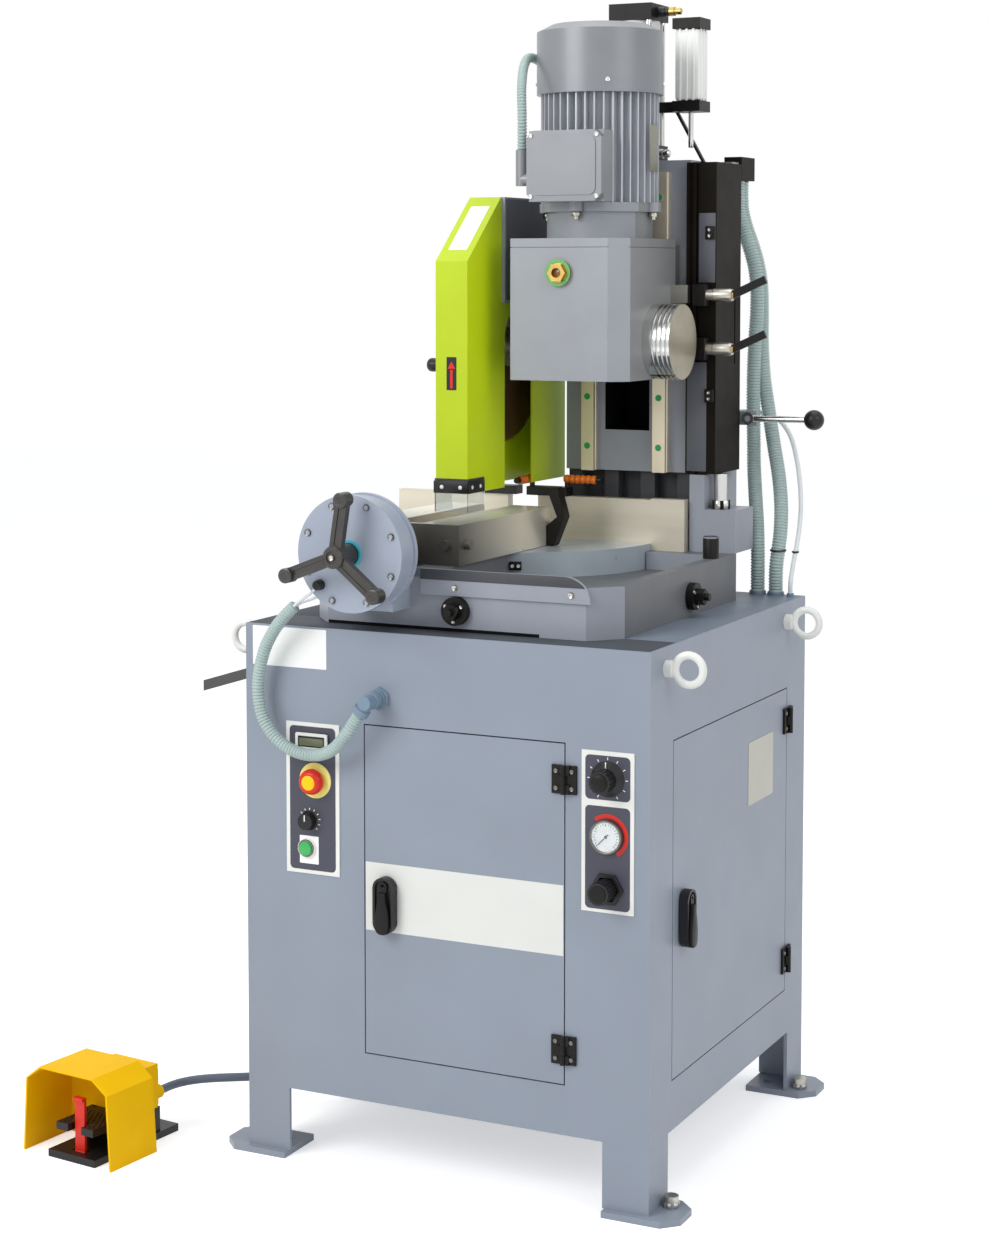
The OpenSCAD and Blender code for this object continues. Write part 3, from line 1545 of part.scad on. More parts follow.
module motor_rotor() {
    pinion_top = pinion_z + pinion_h;
    neck_top = gear_top - gear_wall - over;
    fan_z = cowl_z + fan_rise;
    color(steel) translate([head_x, motor_y, 0]) {
        translate([0, 0, pinion_z]) linear_extrude(pinion_h)
            polygon(tooth_points(pinion_teeth, pinion_r - pinion_tooth_h, pinion_r, pinion_tooth_w));
        translate([0, 0, pinion_top - over])
            cylinder(r = pinion_r - pinion_tooth_h - over, h = neck_top - pinion_top + 2 * over);
        translate([0, 0, neck_top]) cylinder(r = rotor_shaft_r, h = fan_z + over - neck_top);
        translate([0, 0, motor_z + rotor_low]) cylinder(r = rotor_r, h = motor_h - 2 * rotor_low);
        translate([0, 0, fan_z]) cylinder(r = fan_r / 2, h = fan_h);
        translate([0, 0, fan_z + over]) linear_extrude(fan_h - 2 * over)
            polygon(tooth_points(fan_blades, fan_r / 2 - over, fan_r, fan_blade_t));
    }
}

module spindle() {
    blade_face = blade_x + blade_t / 2;
    color(steel) translate([0, blade_y, spindle_z]) {
        rod_x([blade_face, 0, 0], flange_r, flange_disc_t);
        rod_x([blade_face + flange_disc_t - over, 0, 0], spindle_d / 2, gear_right - blade_face - flange_disc_t);
        rod_x([blade_x - blade_t / 2 - flange_disc_t - nut_t, 0, 0], arbor_r, flange_disc_t + nut_t + blade_t + over);
        difference() {
            rod_x([blade_x - blade_t / 2 - flange_disc_t, 0, 0], flange_r, flange_disc_t);
            rod_x([blade_x - blade_t / 2 - flange_disc_t - over, 0, 0], arbor_r, flange_disc_t + 2 * over);
        }
        rod_x([crown_x, 0, 0], crown_r - tooth_len, tooth_h + crown_t);
        rod_x([crown_x + tooth_h, 0, 0], crown_r, crown_t);
        for (k = [0 : crown_teeth - 1]) rotate([360 / crown_teeth * k, 0, 0])
            translate([crown_x, -tooth_w / 2, crown_r - tooth_len - over])
                cube([tooth_h + over, tooth_w, tooth_len + over]);
    }
}

module blade() {
    tip_r = blade_d / 2;
    teeth = [for (k = [0 : blade_teeth - 1], e = [0, 1])
        let (a = 360 / blade_teeth * (k + e * tooth_lean_share), r = e == 0 ? tip_r : tip_r - tooth_depth)
        r * [cos(a), sin(a)]];
    color("#a0785a") translate([blade_x - blade_t / 2, blade_y, spindle_z]) rotate([0, 90, 0])
        linear_extrude(blade_t) difference() {
            polygon(teeth);
            circle(r = arbor_r + run_fit);
            for (k = [0 : drive_pins - 1])
                rotate(360 / drive_pins * k) translate([drive_pin_ring, 0]) circle(r = drive_pin_r);
        }
}

// Places the foot switch on the floor
module at_pedal() {
    translate([pedal_x, pedal_y, 0]) rotate([0, 0, pedal_turn]) children();
}

// Arched outline of the foot switch's hood, drawn in by a distance
function hood_points(inset) =
    let (half = hood_w / 2, low = inset > 0 ? -over : 0, shoulder = hood_h * hood_shoulder_share)
    [[-half + inset, low], [-half * hood_side_share + inset, shoulder],
     [-half * hood_top_share + inset / 2, hood_h - inset], [half * hood_top_share - inset / 2, hood_h - inset],
     [half * hood_side_share - inset, shoulder], [half - inset, low]];

module pedal_hood() {
    color("#ffbe19") at_pedal() {
        difference() {
            translate([hood_shift, hood_l, 0]) rotate([90, 0, 0]) linear_extrude(hood_l) polygon(hood_points(0));
            translate([hood_shift, hood_l - hood_wall, 0]) rotate([90, 0, 0]) linear_extrude(hood_l + over)
                polygon(hood_points(hood_wall));
            translate([-pbody_w / 2 - gap, hood_l - hood_wall - over, -over])
                cube([pbody_w + 2 * gap, hood_wall + 2 * over, rear_z + over + gap]);
            translate([-pbase_w / 2 - gap, hood_l - hood_wall - over, -over])
                cube([pbase_w + 2 * gap, hood_wall + 2 * over, pbase_t + over + gap]);
        }
        translate([-rear_w / 2, hood_l, rear_z + gap]) cube([rear_w, rear_l * rear_share, rear_h]);
        translate([-rear_w / 2 * rear_share, hood_l + rear_l * rear_share - over, rear_z + gap])
            cube([rear_w * rear_share, rear_l * (1 - rear_share) + over, rear_h * rear_share]);
        rod_y([pgland_x, hood_l + rear_l - over, pgland_z], pgland_r, pgland_l + over);
    }
}

pin_y = pbody_y - treadle_hub_r - over;
pin_z = treadle_z - treadle_hub_r;

module pedal_base() {
    color(black) at_pedal() {
        difference() {
            translate([-pbase_w / 2, 0, 0]) cube([pbase_w, pbase_l, pbase_t]);
            translate([-latch_bar_w / 2 - latch_slot, latch_bar_y - latch_slot, latch_floor])
                cube([latch_bar_w + 2 * latch_slot, latch_bar_t + 2 * latch_slot, pbase_t]);
        }
        translate([-pbody_w / 2, pbody_y, pbase_t]) cube([pbody_w, pbody_l, rear_z - pbase_t]);
        for (x = [-pbody_w / 2, pbody_w / 2 - treadle_ear_t]) translate([x, pin_y - treadle_hub_r, pbase_t])
            cube([treadle_ear_t, 2 * treadle_hub_r + over, pin_z + treadle_hub_r - pbase_t]);
        rod_x([-pbody_w / 2, pin_y, pin_z], treadle_pin_r, pbody_w);
        rod_x([-latch_bar_w / 2 - latch_slot - over, latch_bar_y + latch_bar_t / 2, latch_pin_z], latch_pin_r,
              latch_bar_w + 2 * latch_slot + 2 * over);
    }
}

module pedal_treadle() {
    w = pbody_w - 2 * treadle_ear_t - 2 * gap;
    color(black) at_pedal() difference() {
        union() {
            translate([-w / 2, treadle_y, treadle_z - treadle_t]) cube([w, pin_y - treadle_y, treadle_t]);
            rod_x([-w / 2, pin_y, pin_z], treadle_hub_r, w);
        }
        rod_x([-pbody_w, pin_y, pin_z], treadle_pin_r + run_fit, 2 * pbody_w);
        translate([-latch_bar_w / 2 - latch_slot, treadle_y - over, treadle_z - 2 * treadle_t])
            cube([latch_bar_w + 2 * latch_slot,
                  latch_bar_y - treadle_y + latch_bar_t + latch_slot + over, 3 * treadle_t]);
    }
}

module pedal_latch() {
    color("#e6462d") at_pedal() difference() {
        union() {
            rod_x([-latch_bar_w / 2, latch_bar_y + latch_bar_t / 2, latch_pin_z], latch_hub_r, latch_bar_w);
            translate([-latch_bar_w / 2, latch_bar_y, latch_pin_z]) cube([latch_bar_w, latch_bar_t, latch_bar_h]);
            translate([-latch_bar_w / 2, latch_bar_y - latch_bar_t, latch_pin_z + latch_bar_h - latch_bar_t])
                cube([latch_bar_w, 2 * latch_bar_t, latch_bar_t]);
        }
        rod_x([-latch_bar_w, latch_bar_y + latch_bar_t / 2, latch_pin_z], latch_pin_r + run_fit, 2 * latch_bar_w);
    }
}

module front_hose() { color(hose_green) hose(front_route, front_hose_r, front_ribs, [0, 1, 0]); }
module rear_hose_a() { color(hose_green) hose(rear_route_a, rear_hose_r, rear_ribs, [0, 1, 0]); }
module rear_hose_b() { color(hose_green) hose(rear_route_b, rear_hose_r, rear_ribs, [0, 1, 0]); }
module motor_conduit() { color(hose_green) hose(conduit_route, conduit_r, conduit_ribs, [1, 0, 0]); }
module pedal_cable() { color(dark) cord(cable_route, cable_r, cable_rings, [1, -2, 0]); }
module air_tubes() {
    color("white") {
        cord(air_route, tube_r, tube_rings, [0, 1, 0]);
        cord(vice_route_a, vice_tube_r, vice_tube_rings, [0, 1, 0]);
        cord(vice_route_b, vice_tube_r, vice_tube_rings, [0, 1, 0]);
    }
}

cabinet_shell();
legs();
lifting_eyes();
hinge_frames();
chip_tray();
control_plate_left();
control_plate_right();
hose_glands();
coolant_tank();
front_door();
front_latch();
side_door();
side_latch();
estop_button();
start_button();
timer_knob();
feed_dial();
regulator_knob();
base_casting();
splash_plate();
base_clamps();
turntable();
fence();
coolant_blocks();
vice_cylinder();
vice_jaw();
jaw_bracket();
vice_handle();
column();
guide_rails();
column_cover();
stop_dogs();
clamp_lever_upper();
clamp_lever_lower();
ball_lever();
feed_cylinder();
oil_cylinder();
blade_guard();
guard_flap();
gearbox();
bearing_cap();
sight_glass();
motor_frame();
fan_cowl();
terminal_box();
carriage();
feed_rod();
motor_rotor();
spindle();
blade();
pedal_base();
pedal_hood();
pedal_treadle();
pedal_latch();
front_hose();
rear_hose_a();
rear_hose_b();
air_tubes();
pedal_cable();
motor_conduit();
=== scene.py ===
"""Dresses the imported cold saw: hoses, fittings, finishes, studio and camera."""
import math

import bmesh
import bpy
from mathutils import Matrix, Vector


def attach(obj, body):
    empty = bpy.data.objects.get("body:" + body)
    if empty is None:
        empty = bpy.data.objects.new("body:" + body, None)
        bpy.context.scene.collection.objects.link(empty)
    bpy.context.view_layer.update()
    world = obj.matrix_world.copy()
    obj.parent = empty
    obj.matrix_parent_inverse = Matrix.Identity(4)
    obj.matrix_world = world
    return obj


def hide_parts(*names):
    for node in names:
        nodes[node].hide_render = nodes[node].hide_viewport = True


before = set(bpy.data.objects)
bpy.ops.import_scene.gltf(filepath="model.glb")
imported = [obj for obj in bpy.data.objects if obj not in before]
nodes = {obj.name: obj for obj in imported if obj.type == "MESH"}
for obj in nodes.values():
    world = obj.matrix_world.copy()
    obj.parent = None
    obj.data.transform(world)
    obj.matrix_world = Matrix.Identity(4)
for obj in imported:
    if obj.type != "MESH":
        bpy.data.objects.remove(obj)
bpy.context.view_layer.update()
scene = bpy.context.scene

# Lengths below are millimetres in the CAD's frame, and MM turns them into metres
MM = 0.001
TINY = 0.001
FULL_TURN = 2 * math.pi
X, Y, Z = Vector((1, 0, 0)), Vector((0, 1, 0)), Vector((0, 0, 1))
FRONT, LEFT, RIGHT, UP, DOWN = -Y, -X, X, Z, -Z

# Camera at the photograph's place
camera_data = bpy.data.cameras.new("photo_camera")
camera_data.sensor_width = 36
camera_data.lens = 69.49
camera_data.shift_y = -0.1446
camera_data.clip_end = 50
camera = bpy.data.objects.new("photo_camera", camera_data)
camera.location = (1.66293, -3.55037, 1.3975)
camera.rotation_euler = (math.radians(86), 0, math.radians(26.1))
scene.collection.objects.link(camera)
scene.camera = camera


# Finishes

TONE_SHARES = (0.3, 0.7)
GLOSS_LEAST = 0.02
GLOSS_DRIFT = 0.06
GLOSS_SIZE_SHARE = 1 / 3
GRAIN_STRENGTH = 0.6
finishes = {}


def linear(red, green, blue):
    """A colour written in screen values of 0 to 255."""
    def channel(value):
        share = value / 255
        return share / 12.92 if share <= 0.04045 else ((share + 0.055) / 1.055) ** 2.4
    return channel(red), channel(green), channel(blue), 1.0


def shaded(colour, share):
    """A colour made lighter or darker by a share."""
    return tuple(min(1.0, c * (1 + share)) for c in colour[:3]) + (1.0,)


def add_node(tree, kind, values):
    """A shader node with constants on its own sockets."""
    node = tree.nodes.new(kind)
    for socket, value in values.items():
        node.inputs[socket].default_value = value
    return node


def link(source, output, target, socket):
    source.id_data.links.new(source.outputs[output], target.inputs[socket])


def object_noise(tree, size, detail, stretch):
    """Noise on object coordinates whose features are about size millimetres."""
    coords = tree.nodes.new("ShaderNodeTexCoord")
    mapping = add_node(tree, "ShaderNodeMapping", {"Scale": stretch})
    noise = add_node(tree, "ShaderNodeTexNoise", {"Scale": 1 / (size * MM), "Detail": detail})
    link(coords, "Object", mapping, "Vector")
    link(mapping, "Vector", noise, "Vector")
    return noise


def finish(name, colour, rough, metal=0.0, vary=0.05, spread=70, grain=2.0, depth=0.05,
           stretch=(1, 1, 1), coat=0.0, specular=0.5):
    """A surface with drifting tone, drifting gloss and a fine grain, its colour in screen values."""
    material = bpy.data.materials.new(name)
    material.use_nodes = True
    tree = material.node_tree
    shader = tree.nodes["Principled BSDF"]
    shader.inputs["Metallic"].default_value = metal
    shader.inputs["Coat Weight"].default_value = coat
    shader.inputs["Specular IOR Level"].default_value = specular
    ramp = tree.nodes.new("ShaderNodeValToRGB")
    for stop, place, share in zip(ramp.color_ramp.elements, TONE_SHARES, (-vary, vary)):
        stop.position = place
        stop.color = shaded(linear(*colour), share)
    link(object_noise(tree, spread, 4.0, stretch), "Fac", ramp, "Fac")
    link(ramp, "Color", shader, "Base Color")
    limits = {"To Min": max(GLOSS_LEAST, rough - GLOSS_DRIFT), "To Max": min(1.0, rough + GLOSS_DRIFT)}
    gloss = add_node(tree, "ShaderNodeMapRange", limits)
    link(object_noise(tree, spread * GLOSS_SIZE_SHARE, 3.0, stretch), "Fac", gloss, "Value")
    link(gloss, "Result", shader, "Roughness")
    bump = add_node(tree, "ShaderNodeBump", {"Strength": GRAIN_STRENGTH, "Distance": depth * MM})
    link(object_noise(tree, grain, 2.0, stretch), "Fac", bump, "Height")
    link(bump, "Normal", shader, "Normal")
    finishes[name] = material
    return material


def clear_finish(name, colour, rough):
    """See-through plastic with faint scuffs."""
    material = finish(name, colour, rough, vary=0.02, depth=0.02)
    shader = material.node_tree.nodes["Principled BSDF"]
    shader.inputs["Transmission Weight"].default_value = 0.92
    shader.inputs["IOR"].default_value = 1.2


# Grains that several finishes share
CAST = dict(vary=0.04, spread=90, grain=2.4)
COARSE = dict(grain=2.4, depth=0.1)
RIBBED = dict(vary=0.05, grain=1.8, depth=0.1)
SMOOTH_SHEET = dict(vary=0.015, depth=0.01)
LIME = dict(vary=0.04, spread=120, grain=1.2, depth=0.04, specular=0.4)
BRUSHED_X = dict(grain=5, depth=0.02, stretch=(0.06, 1, 1))
BRUSHED_Z = dict(depth=0.02, stretch=(1, 1, 0.06))

finish("cabinet_paint", (142, 150, 163), 0.4, vary=0.035, spread=160, grain=1.6, depth=0.06)
finish("machine_paint", (152, 156, 166), 0.36, depth=0.1, **CAST)
finish("gear_paint", (155, 158, 164), 0.36, depth=0.08, **CAST)
finish("motor_paint", (136, 138, 142), 0.34, metal=0.2, **RIBBED)
finish("fin_paint", (196, 198, 204), 0.4, metal=0.1, **RIBBED)
finish("dull_top", (104, 107, 112), 0.5, vary=0.06, specular=0.2, **COARSE)
finish("shade_paint", (112, 113, 116), 0.42, vary=0.05, specular=0.3, **COARSE)
finish("gear_shade", (130, 131, 132), 0.4, depth=0.08, **CAST)
finish("low_ribs", (78, 79, 83), 0.4, vary=0.08, specular=0.2, **COARSE)
finish("vice_paint", (163, 171, 186), 0.34, vary=0.03, grain=1.4, depth=0.04)
finish("white_paint", (236, 236, 230), 0.4, vary=0.04, grain=1.2)
finish("label_white", (250, 250, 247), 0.5, **SMOOTH_SHEET)
finish("band_white", (226, 227, 221), 0.45, **SMOOTH_SHEET)
finish("black_metal", (24, 22, 21), 0.42, vary=0.12, spread=40, specular=0.2)
finish("cover_black", (27, 23, 18), 0.5, vary=0.2, spread=90, depth=0.03, specular=0.08)
finish("dark_sheet", (78, 76, 76), 0.45, metal=0.3, vary=0.1, depth=0.04)
finish("gap_black", (14, 14, 16), 0.8, vary=0.1, specular=0.1)
finish("top_sheet", (78, 82, 88), 0.6, vary=0.06, spread=140, specular=0.08)
finish("top_side", (116, 126, 139), 0.5, vary=0.06, spread=140, specular=0.2)
finish("side_grey", (92, 94, 102), 0.45, grain=2.2, depth=0.08)
finish("handle_grey", (74, 72, 69), 0.34, metal=0.55, vary=0.1, spread=30, depth=0.04)
finish("black_plastic", (26, 26, 28), 0.38, vary=0.08, grain=0.9, depth=0.04, specular=0.35)
finish("panel_dark", (66, 67, 80), 0.5, vary=0.03, grain=0.7, depth=0.02)
finish("red_plastic", (222, 44, 30), 0.34, depth=0.02, specular=0.35)
finish("amber_plastic", (255, 206, 12), 0.36, depth=0.02, specular=0.25)
finish("yellow_disc", (250, 240, 130), 0.45, vary=0.03, depth=0.01)
finish("green_plastic", (46, 176, 84), 0.25, vary=0.06, depth=0.01, coat=0.3)
finish("green_cap", (24, 160, 84), 0.4, depth=0.01)
finish("ring_green", (98, 178, 96), 0.4)
finish("sight_amber", (132, 86, 44), 0.2, vary=0.1, coat=0.2)
finish("steel", (188, 184, 174), 0.3, metal=1.0, vary=0.1, spread=30, **BRUSHED_X)
finish("rail_steel", (226, 214, 190), 0.34, metal=0.6, vary=0.12, spread=40, grain=5, **BRUSHED_Z)
finish("table_paint", (178, 188, 196), 0.3, metal=0.1, vary=0.06, spread=60, **COARSE)
finish("fence_steel", (224, 216, 198), 0.36, metal=0.5, vary=0.1, spread=60, **BRUSHED_X)
finish("jaw_steel", (236, 230, 214), 0.3, metal=0.6, vary=0.1, grain=4, depth=0.02)
finish("turned_steel", (158, 152, 134), 0.34, metal=1.0, vary=0.1, spread=40, depth=0.02)
finish("screw_grey", (116, 112, 106), 0.34, metal=0.9, vary=0.1, spread=20, depth=0.02)
finish("chrome", (214, 214, 212), 0.16, metal=1.0, depth=0.01)
finish("aluminium", (248, 248, 243), 0.4, grain=4, **BRUSHED_Z)
finish("plate_grey", (138, 136, 122), 0.4, metal=0.4, vary=0.06, depth=0.02)
finish("plate_pale", (186, 184, 172), 0.4, metal=0.3, vary=0.04, depth=0.02)
finish("brass", (186, 158, 92), 0.34, metal=1.0, vary=0.12, spread=20, depth=0.02)
finish("copper_blade", (146, 108, 84), 0.36, metal=0.9, vary=0.2, spread=80, grain=3, depth=0.03)
finish("lime_side", (214, 238, 10), 0.38, **LIME)
finish("lime_paint", (188, 210, 12), 0.38, **LIME)
finish("hose_grey", (172, 190, 186), 0.45, vary=0.06, spread=50, depth=0.02)
finish("gland_blue", (120, 140, 158), 0.4, depth=0.02)
finish("tube_white", (226, 229, 230), 0.35, vary=0.03, depth=0.01)
finish("cable_grey", (98, 108, 122), 0.5, vary=0.08, spread=40)
finish("nozzle_orange", (248, 124, 20), 0.3, vary=0.06, depth=0.02, coat=0.2)
finish("pedal_yellow", (255, 196, 0), 0.5, vary=0.04, spread=60, grain=0.9, specular=0.1)
finish("cyan_seal", (72, 178, 196), 0.4)
finish("gauge_white", (244, 244, 240), 0.5, vary=0.01, depth=0.01)
finish("screen_olive", (112, 116, 92), 0.2, vary=0.04, depth=0.01)
clear_finish("flap_clear", (232, 236, 238), 0.08)
clear_finish("gauge_glass", (245, 248, 250), 0.03)

NODE_FINISHES = {
    "cabinet_paint": ["cabinet_shell", "front_door", "side_door", "legs"],
    "machine_paint": ["base_casting", "splash_plate", "column"],
    "gear_paint": ["gearbox"],
    "fin_paint": ["motor_frame"],
    "motor_paint": ["fan_cowl", "terminal_box"],
    "vice_paint": ["vice_cylinder"],
    "white_paint": ["lifting_eyes", "control_plate_left", "control_plate_right"],
    "black_metal": ["hinge_frames", "base_clamps", "stop_dogs", "jaw_bracket", "feed_cylinder",
                    "oil_cylinder", "clamp_lever_upper", "clamp_lever_lower"],
    "cover_black": ["column_cover"],
    "handle_grey": ["vice_handle"],
    "dark_sheet": ["chip_tray", "coolant_tank"],
    "gland_blue": ["hose_glands"],
    "black_plastic": ["front_latch", "side_latch", "timer_knob", "feed_dial", "regulator_knob",
                      "coolant_blocks", "pedal_base", "pedal_treadle"],
    "red_plastic": ["estop_button", "pedal_latch"],
    "green_plastic": ["start_button"],
    "fence_steel": ["fence"],
    "jaw_steel": ["vice_jaw"],
    "steel": ["carriage", "feed_rod", "motor_rotor", "spindle"],
    "rail_steel": ["guide_rails"],
    "table_paint": ["turntable"],
    "chrome": ["bearing_cap", "ball_lever"],
    "brass": ["sight_glass"],
    "copper_blade": ["blade"],
    "lime_paint": ["blade_guard"],
    "flap_clear": ["guard_flap"],
    "pedal_yellow": ["pedal_hood"],
    "hose_grey": ["front_hose", "rear_hose_a", "rear_hose_b", "motor_conduit"],
    "tube_white": ["air_tubes"],
    "cable_grey": ["pedal_cable"],
}
for look, names in NODE_FINISHES.items():
    for name in names:
        mesh = nodes[name].data
        mesh.materials.clear()
        mesh.materials.append(finishes[look])


# Faces of CAD nodes with a finish of their own

DOOR_Y = -345
SIDE_X = 345
HINGE_ROWS = (242, 651)
LEAF_REACH = 22
FRONT_LEAF_X, SIDE_LEAF_Y = 186, 232
WINDOW_X, WINDOW_Y, WINDOW_LOW = (12, 96), (251, 351), 1130
RIBS_RIGHT, RIBS_Y, RIBS_Z = 169, (251, 349), (931, 1060)
CAP_FACE_X = 200
FLANGE_TOP = 1534
STUB_X = -154.5
TOP_GLANDS_LOW = 1500
TOWARDS = 0.9
UPWARDS = 0.7


def paint_faces(name, look, chosen):
    """Gives the faces that a test of place and facing picks another finish."""
    mesh = nodes[name].data
    mesh.materials.append(finishes[look])
    added = len(mesh.materials) - 1
    for face in mesh.polygons:
        if chosen(face.center / MM, face.normal):
            face.material_index = added


def between(value, limits):
    return limits[0] < value < limits[1]


def beside_hinge(height):
    return any(abs(height - row) < LEAF_REACH for row in HINGE_ROWS)


def faces_right(_, facing):
    return facing.x > TOWARDS


paint_faces("front_door", "black_metal",
            lambda at, _: at.y < DOOR_Y - TINY and at.x > FRONT_LEAF_X and beside_hinge(at.z))
paint_faces("side_door", "black_metal",
            lambda at, _: at.x > SIDE_X + TINY and at.y > SIDE_LEAF_Y and beside_hinge(at.z))
# The base's upward faces get a darker grey: painted shade.
paint_faces("base_casting", "dull_top", lambda _, facing: facing.z > UPWARDS)
# The right-facing faces of the base and the gearbox get darker greys: painted shade.
paint_faces("base_casting", "shade_paint", faces_right)
paint_faces("gearbox", "gear_shade", faces_right)
# The inner faces of the column's window get near-black: painted shade in the recess.
paint_faces("column", "gap_black",
            lambda at, _: between(at.x, WINDOW_X) and between(at.y, WINDOW_Y) and at.z > WINDOW_LOW)
# The lower ribs inside the column get a dark grey: painted shade in the recess.
paint_faces("column", "low_ribs",
            lambda at, _: at.x < RIBS_RIGHT and between(at.y, RIBS_Y) and between(at.z, RIBS_Z))
paint_faces("bearing_cap", "turned_steel", lambda at, facing: facing.x > TOWARDS and at.x > CAP_FACE_X)
paint_faces("motor_frame", "gear_paint", lambda at, _: at.z < FLANGE_TOP)
# The guard's right-facing faces get a brighter lime than its front: painted light.
paint_faces("blade_guard", "lime_side", faces_right)
paint_faces("blade_guard", "black_plastic", lambda at, _: at.x < STUB_X)
paint_faces("hose_glands", "cover_black", lambda at, _: at.z > TOP_GLANDS_LOW)


def fade(look, axis, low, high, dark):
    """Lets a finish darken along an axis, from its own colour at high to the dark one at low."""
    tree = finishes[look].node_tree
    ramp = next(node for node in tree.nodes if node.type == "VALTORGB")
    first, last = ramp.color_ramp.elements
    first.position = 0.0
    first.color = dark
    last.position = 1.0
    coords = tree.nodes.new("ShaderNodeTexCoord")
    split = tree.nodes.new("ShaderNodeSeparateXYZ")
    reach = add_node(tree, "ShaderNodeMapRange", {"From Min": low * MM, "From Max": high * MM})
    link(coords, "Object", split, "Vector")
    link(split, axis, reach, "Value")
    link(reach, "Result", ramp, "Fac")


# The jaw's steel is painted darker towards the front and bright towards the rear: a painted reflection.
JAW_DARK_Y, JAW_BRIGHT_Y = -260, 0
fade("jaw_steel", "Y", JAW_DARK_Y, JAW_BRIGHT_Y, linear(46, 42, 39))


# Mesh helpers: every shape is made at the origin in millimetres, then placed

SMOOTH_DEGREES = 38
HEAD_TAPER_SHARE = 0.92
SOCKET_RIM_SHARE = 0.45
SOCKET_DEPTH_SHARE = 0.5
NUT_CHAMFER_SHARE = 0.1


def placed(at, axis):
    """Takes +Z to an axis and the origin to a point."""
    facing = Vector(axis).to_track_quat("Z", "Y").to_matrix().to_4x4()
    return Matrix.Translation(Vector(at)) @ facing


def merge(target, part, matrix):
    """Adds a finished shape to a piece's mesh."""
    bmesh.ops.remove_doubles(part, verts=part.verts, dist=TINY)
    bmesh.ops.recalc_face_normals(part, faces=part.faces)
    bmesh.ops.transform(part, matrix=matrix, verts=part.verts)
    mesh = bpy.data.meshes.new("part")
    part.to_mesh(mesh)
    part.free()
    target.from_mesh(mesh)
    bpy.data.meshes.remove(mesh)


def raised(part, faces, height):
    """Extrudes faces along +Z and gives the new vertices."""
    grown = bmesh.ops.extrude_face_region(part, geom=list(faces))
    verts = [item for item in grown["geom"] if isinstance(item, bmesh.types.BMVert)]
    bmesh.ops.translate(part, vec=(0, 0, height), verts=verts)
    return verts


def round_edges(part, edges, width, segments=2):
    bmesh.ops.bevel(part, geom=list(edges), offset=width, offset_type="OFFSET", segments=segments,
                    profile=0.5, affect="EDGES", material=-1)


def add_block(target, low, high, bevel=0.6, matrix=Matrix()):
    """A block between two corners with rounded edges."""
    low, high = Vector(low), Vector(high)
    part = bmesh.new()
    bmesh.ops.create_cube(part, size=1.0)
    bmesh.ops.scale(part, vec=high - low, verts=part.verts)
    bmesh.ops.translate(part, vec=(low + high) / 2, verts=part.verts)
    round_edges(part, part.edges, bevel)
    merge(target, part, matrix)


def add_turned(target, outline, at, axis, steps):
    """Spins an outline of (radius, height) points about an axis."""
    part = bmesh.new()
    verts = [part.verts.new((radius, 0, height)) for radius, height in outline]
    edges = [part.edges.new(pair) for pair in zip(verts, verts[1:])]
    bmesh.ops.spin(part, geom=verts + edges, cent=(0, 0, 0), axis=(0, 0, 1), angle=FULL_TURN, steps=steps,
                   use_merge=True)
    merge(target, part, placed(at, axis))


def add_ring(target, at, axis, inner, outer, height, steps=32, bevel=0.4):
    add_turned(target, [(inner, 0), (outer, 0), (outer, height - bevel), (outer - bevel, height),
                        (inner + bevel, height), (inner, height - bevel), (inner, 0)], at, axis, steps)


def add_disc(target, at, axis, radius, height, steps=32, bevel=0.4):
    outline = [(0, 0), (radius, 0), (radius, height - bevel), (radius - bevel, height), (0, height)]
    add_turned(target, outline, at, axis, steps)


def add_cone(part, sides, low_radius, high_radius, height):
    bmesh.ops.create_cone(part, cap_ends=True, segments=sides, radius1=low_radius, radius2=high_radius,
                          depth=height)
    bmesh.ops.translate(part, vec=(0, 0, height / 2), verts=part.verts)


def add_screw(target, at, axis, radius, height):
    """Socket-head screw: tapered head with a sunk socket."""
    part = bmesh.new()
    add_cone(part, 12, radius, radius * HEAD_TAPER_SHARE, height)
    top = max(part.faces, key=lambda face: face.calc_center_median().z)
    bmesh.ops.inset_region(part, faces=[top], thickness=radius * SOCKET_RIM_SHARE, use_even_offset=True)
    bmesh.ops.translate(part, vec=(0, 0, -height * SOCKET_DEPTH_SHARE), verts=top.verts)
    merge(target, part, placed(at, axis))


def add_hexagon(target, at, axis, radius, height):
    """Hexagonal nut with chamfered rims."""
    part = bmesh.new()
    add_cone(part, 6, radius, radius, height)
    round_edges(part, part.edges, min(radius, height) * NUT_CHAMFER_SHARE, 1)
    merge(target, part, placed(at, axis))


def add_card(target, at, axis, width, length, corner, height):
    """Thin card with rounded corners, its back on a face."""
    part = bmesh.new()
    bmesh.ops.create_grid(part, x_segments=1, y_segments=1, size=0.5)
    bmesh.ops.scale(part, vec=(width, length, 1), verts=part.verts)
    bmesh.ops.bevel(part, geom=list(part.verts), offset=corner, offset_type="OFFSET", segments=5,
                    profile=0.5, affect="VERTICES", material=-1)
    raised(part, part.faces, height)
    merge(target, part, placed(at, axis))


def add_outline(target, points, height, bevel, at, axis):
    """Plate with a given outline, its back on a face and its front rim rounded."""
    part = bmesh.new()
    face = part.faces.new([part.verts.new((x, y, 0)) for x, y in points])
    rim = set(raised(part, [face], height))
    round_edges(part, [edge for edge in part.edges if set(edge.verts) <= rim], bevel)
    merge(target, part, placed(at, axis))


def turns(count, first):
    """Angles of a ring of equal steps, the first one given in degrees."""
    return [math.radians(first) + FULL_TURN * k / count for k in range(count)]


def around(angle):
    """Direction on a front panel, from the right towards the top."""
    return math.cos(angle) * X + math.sin(angle) * Z


def add_radial(target, centre, radius, angle, length, width, corner, height):
    """A mark on a front panel that points away from a centre."""
    part = bmesh.new()
    add_card(part, (0, 0, 0), UP, length, width, corner, height)
    merge(target, part, placed(centre + radius * around(angle), FRONT) @ Matrix.Rotation(angle, 4, "Z"))


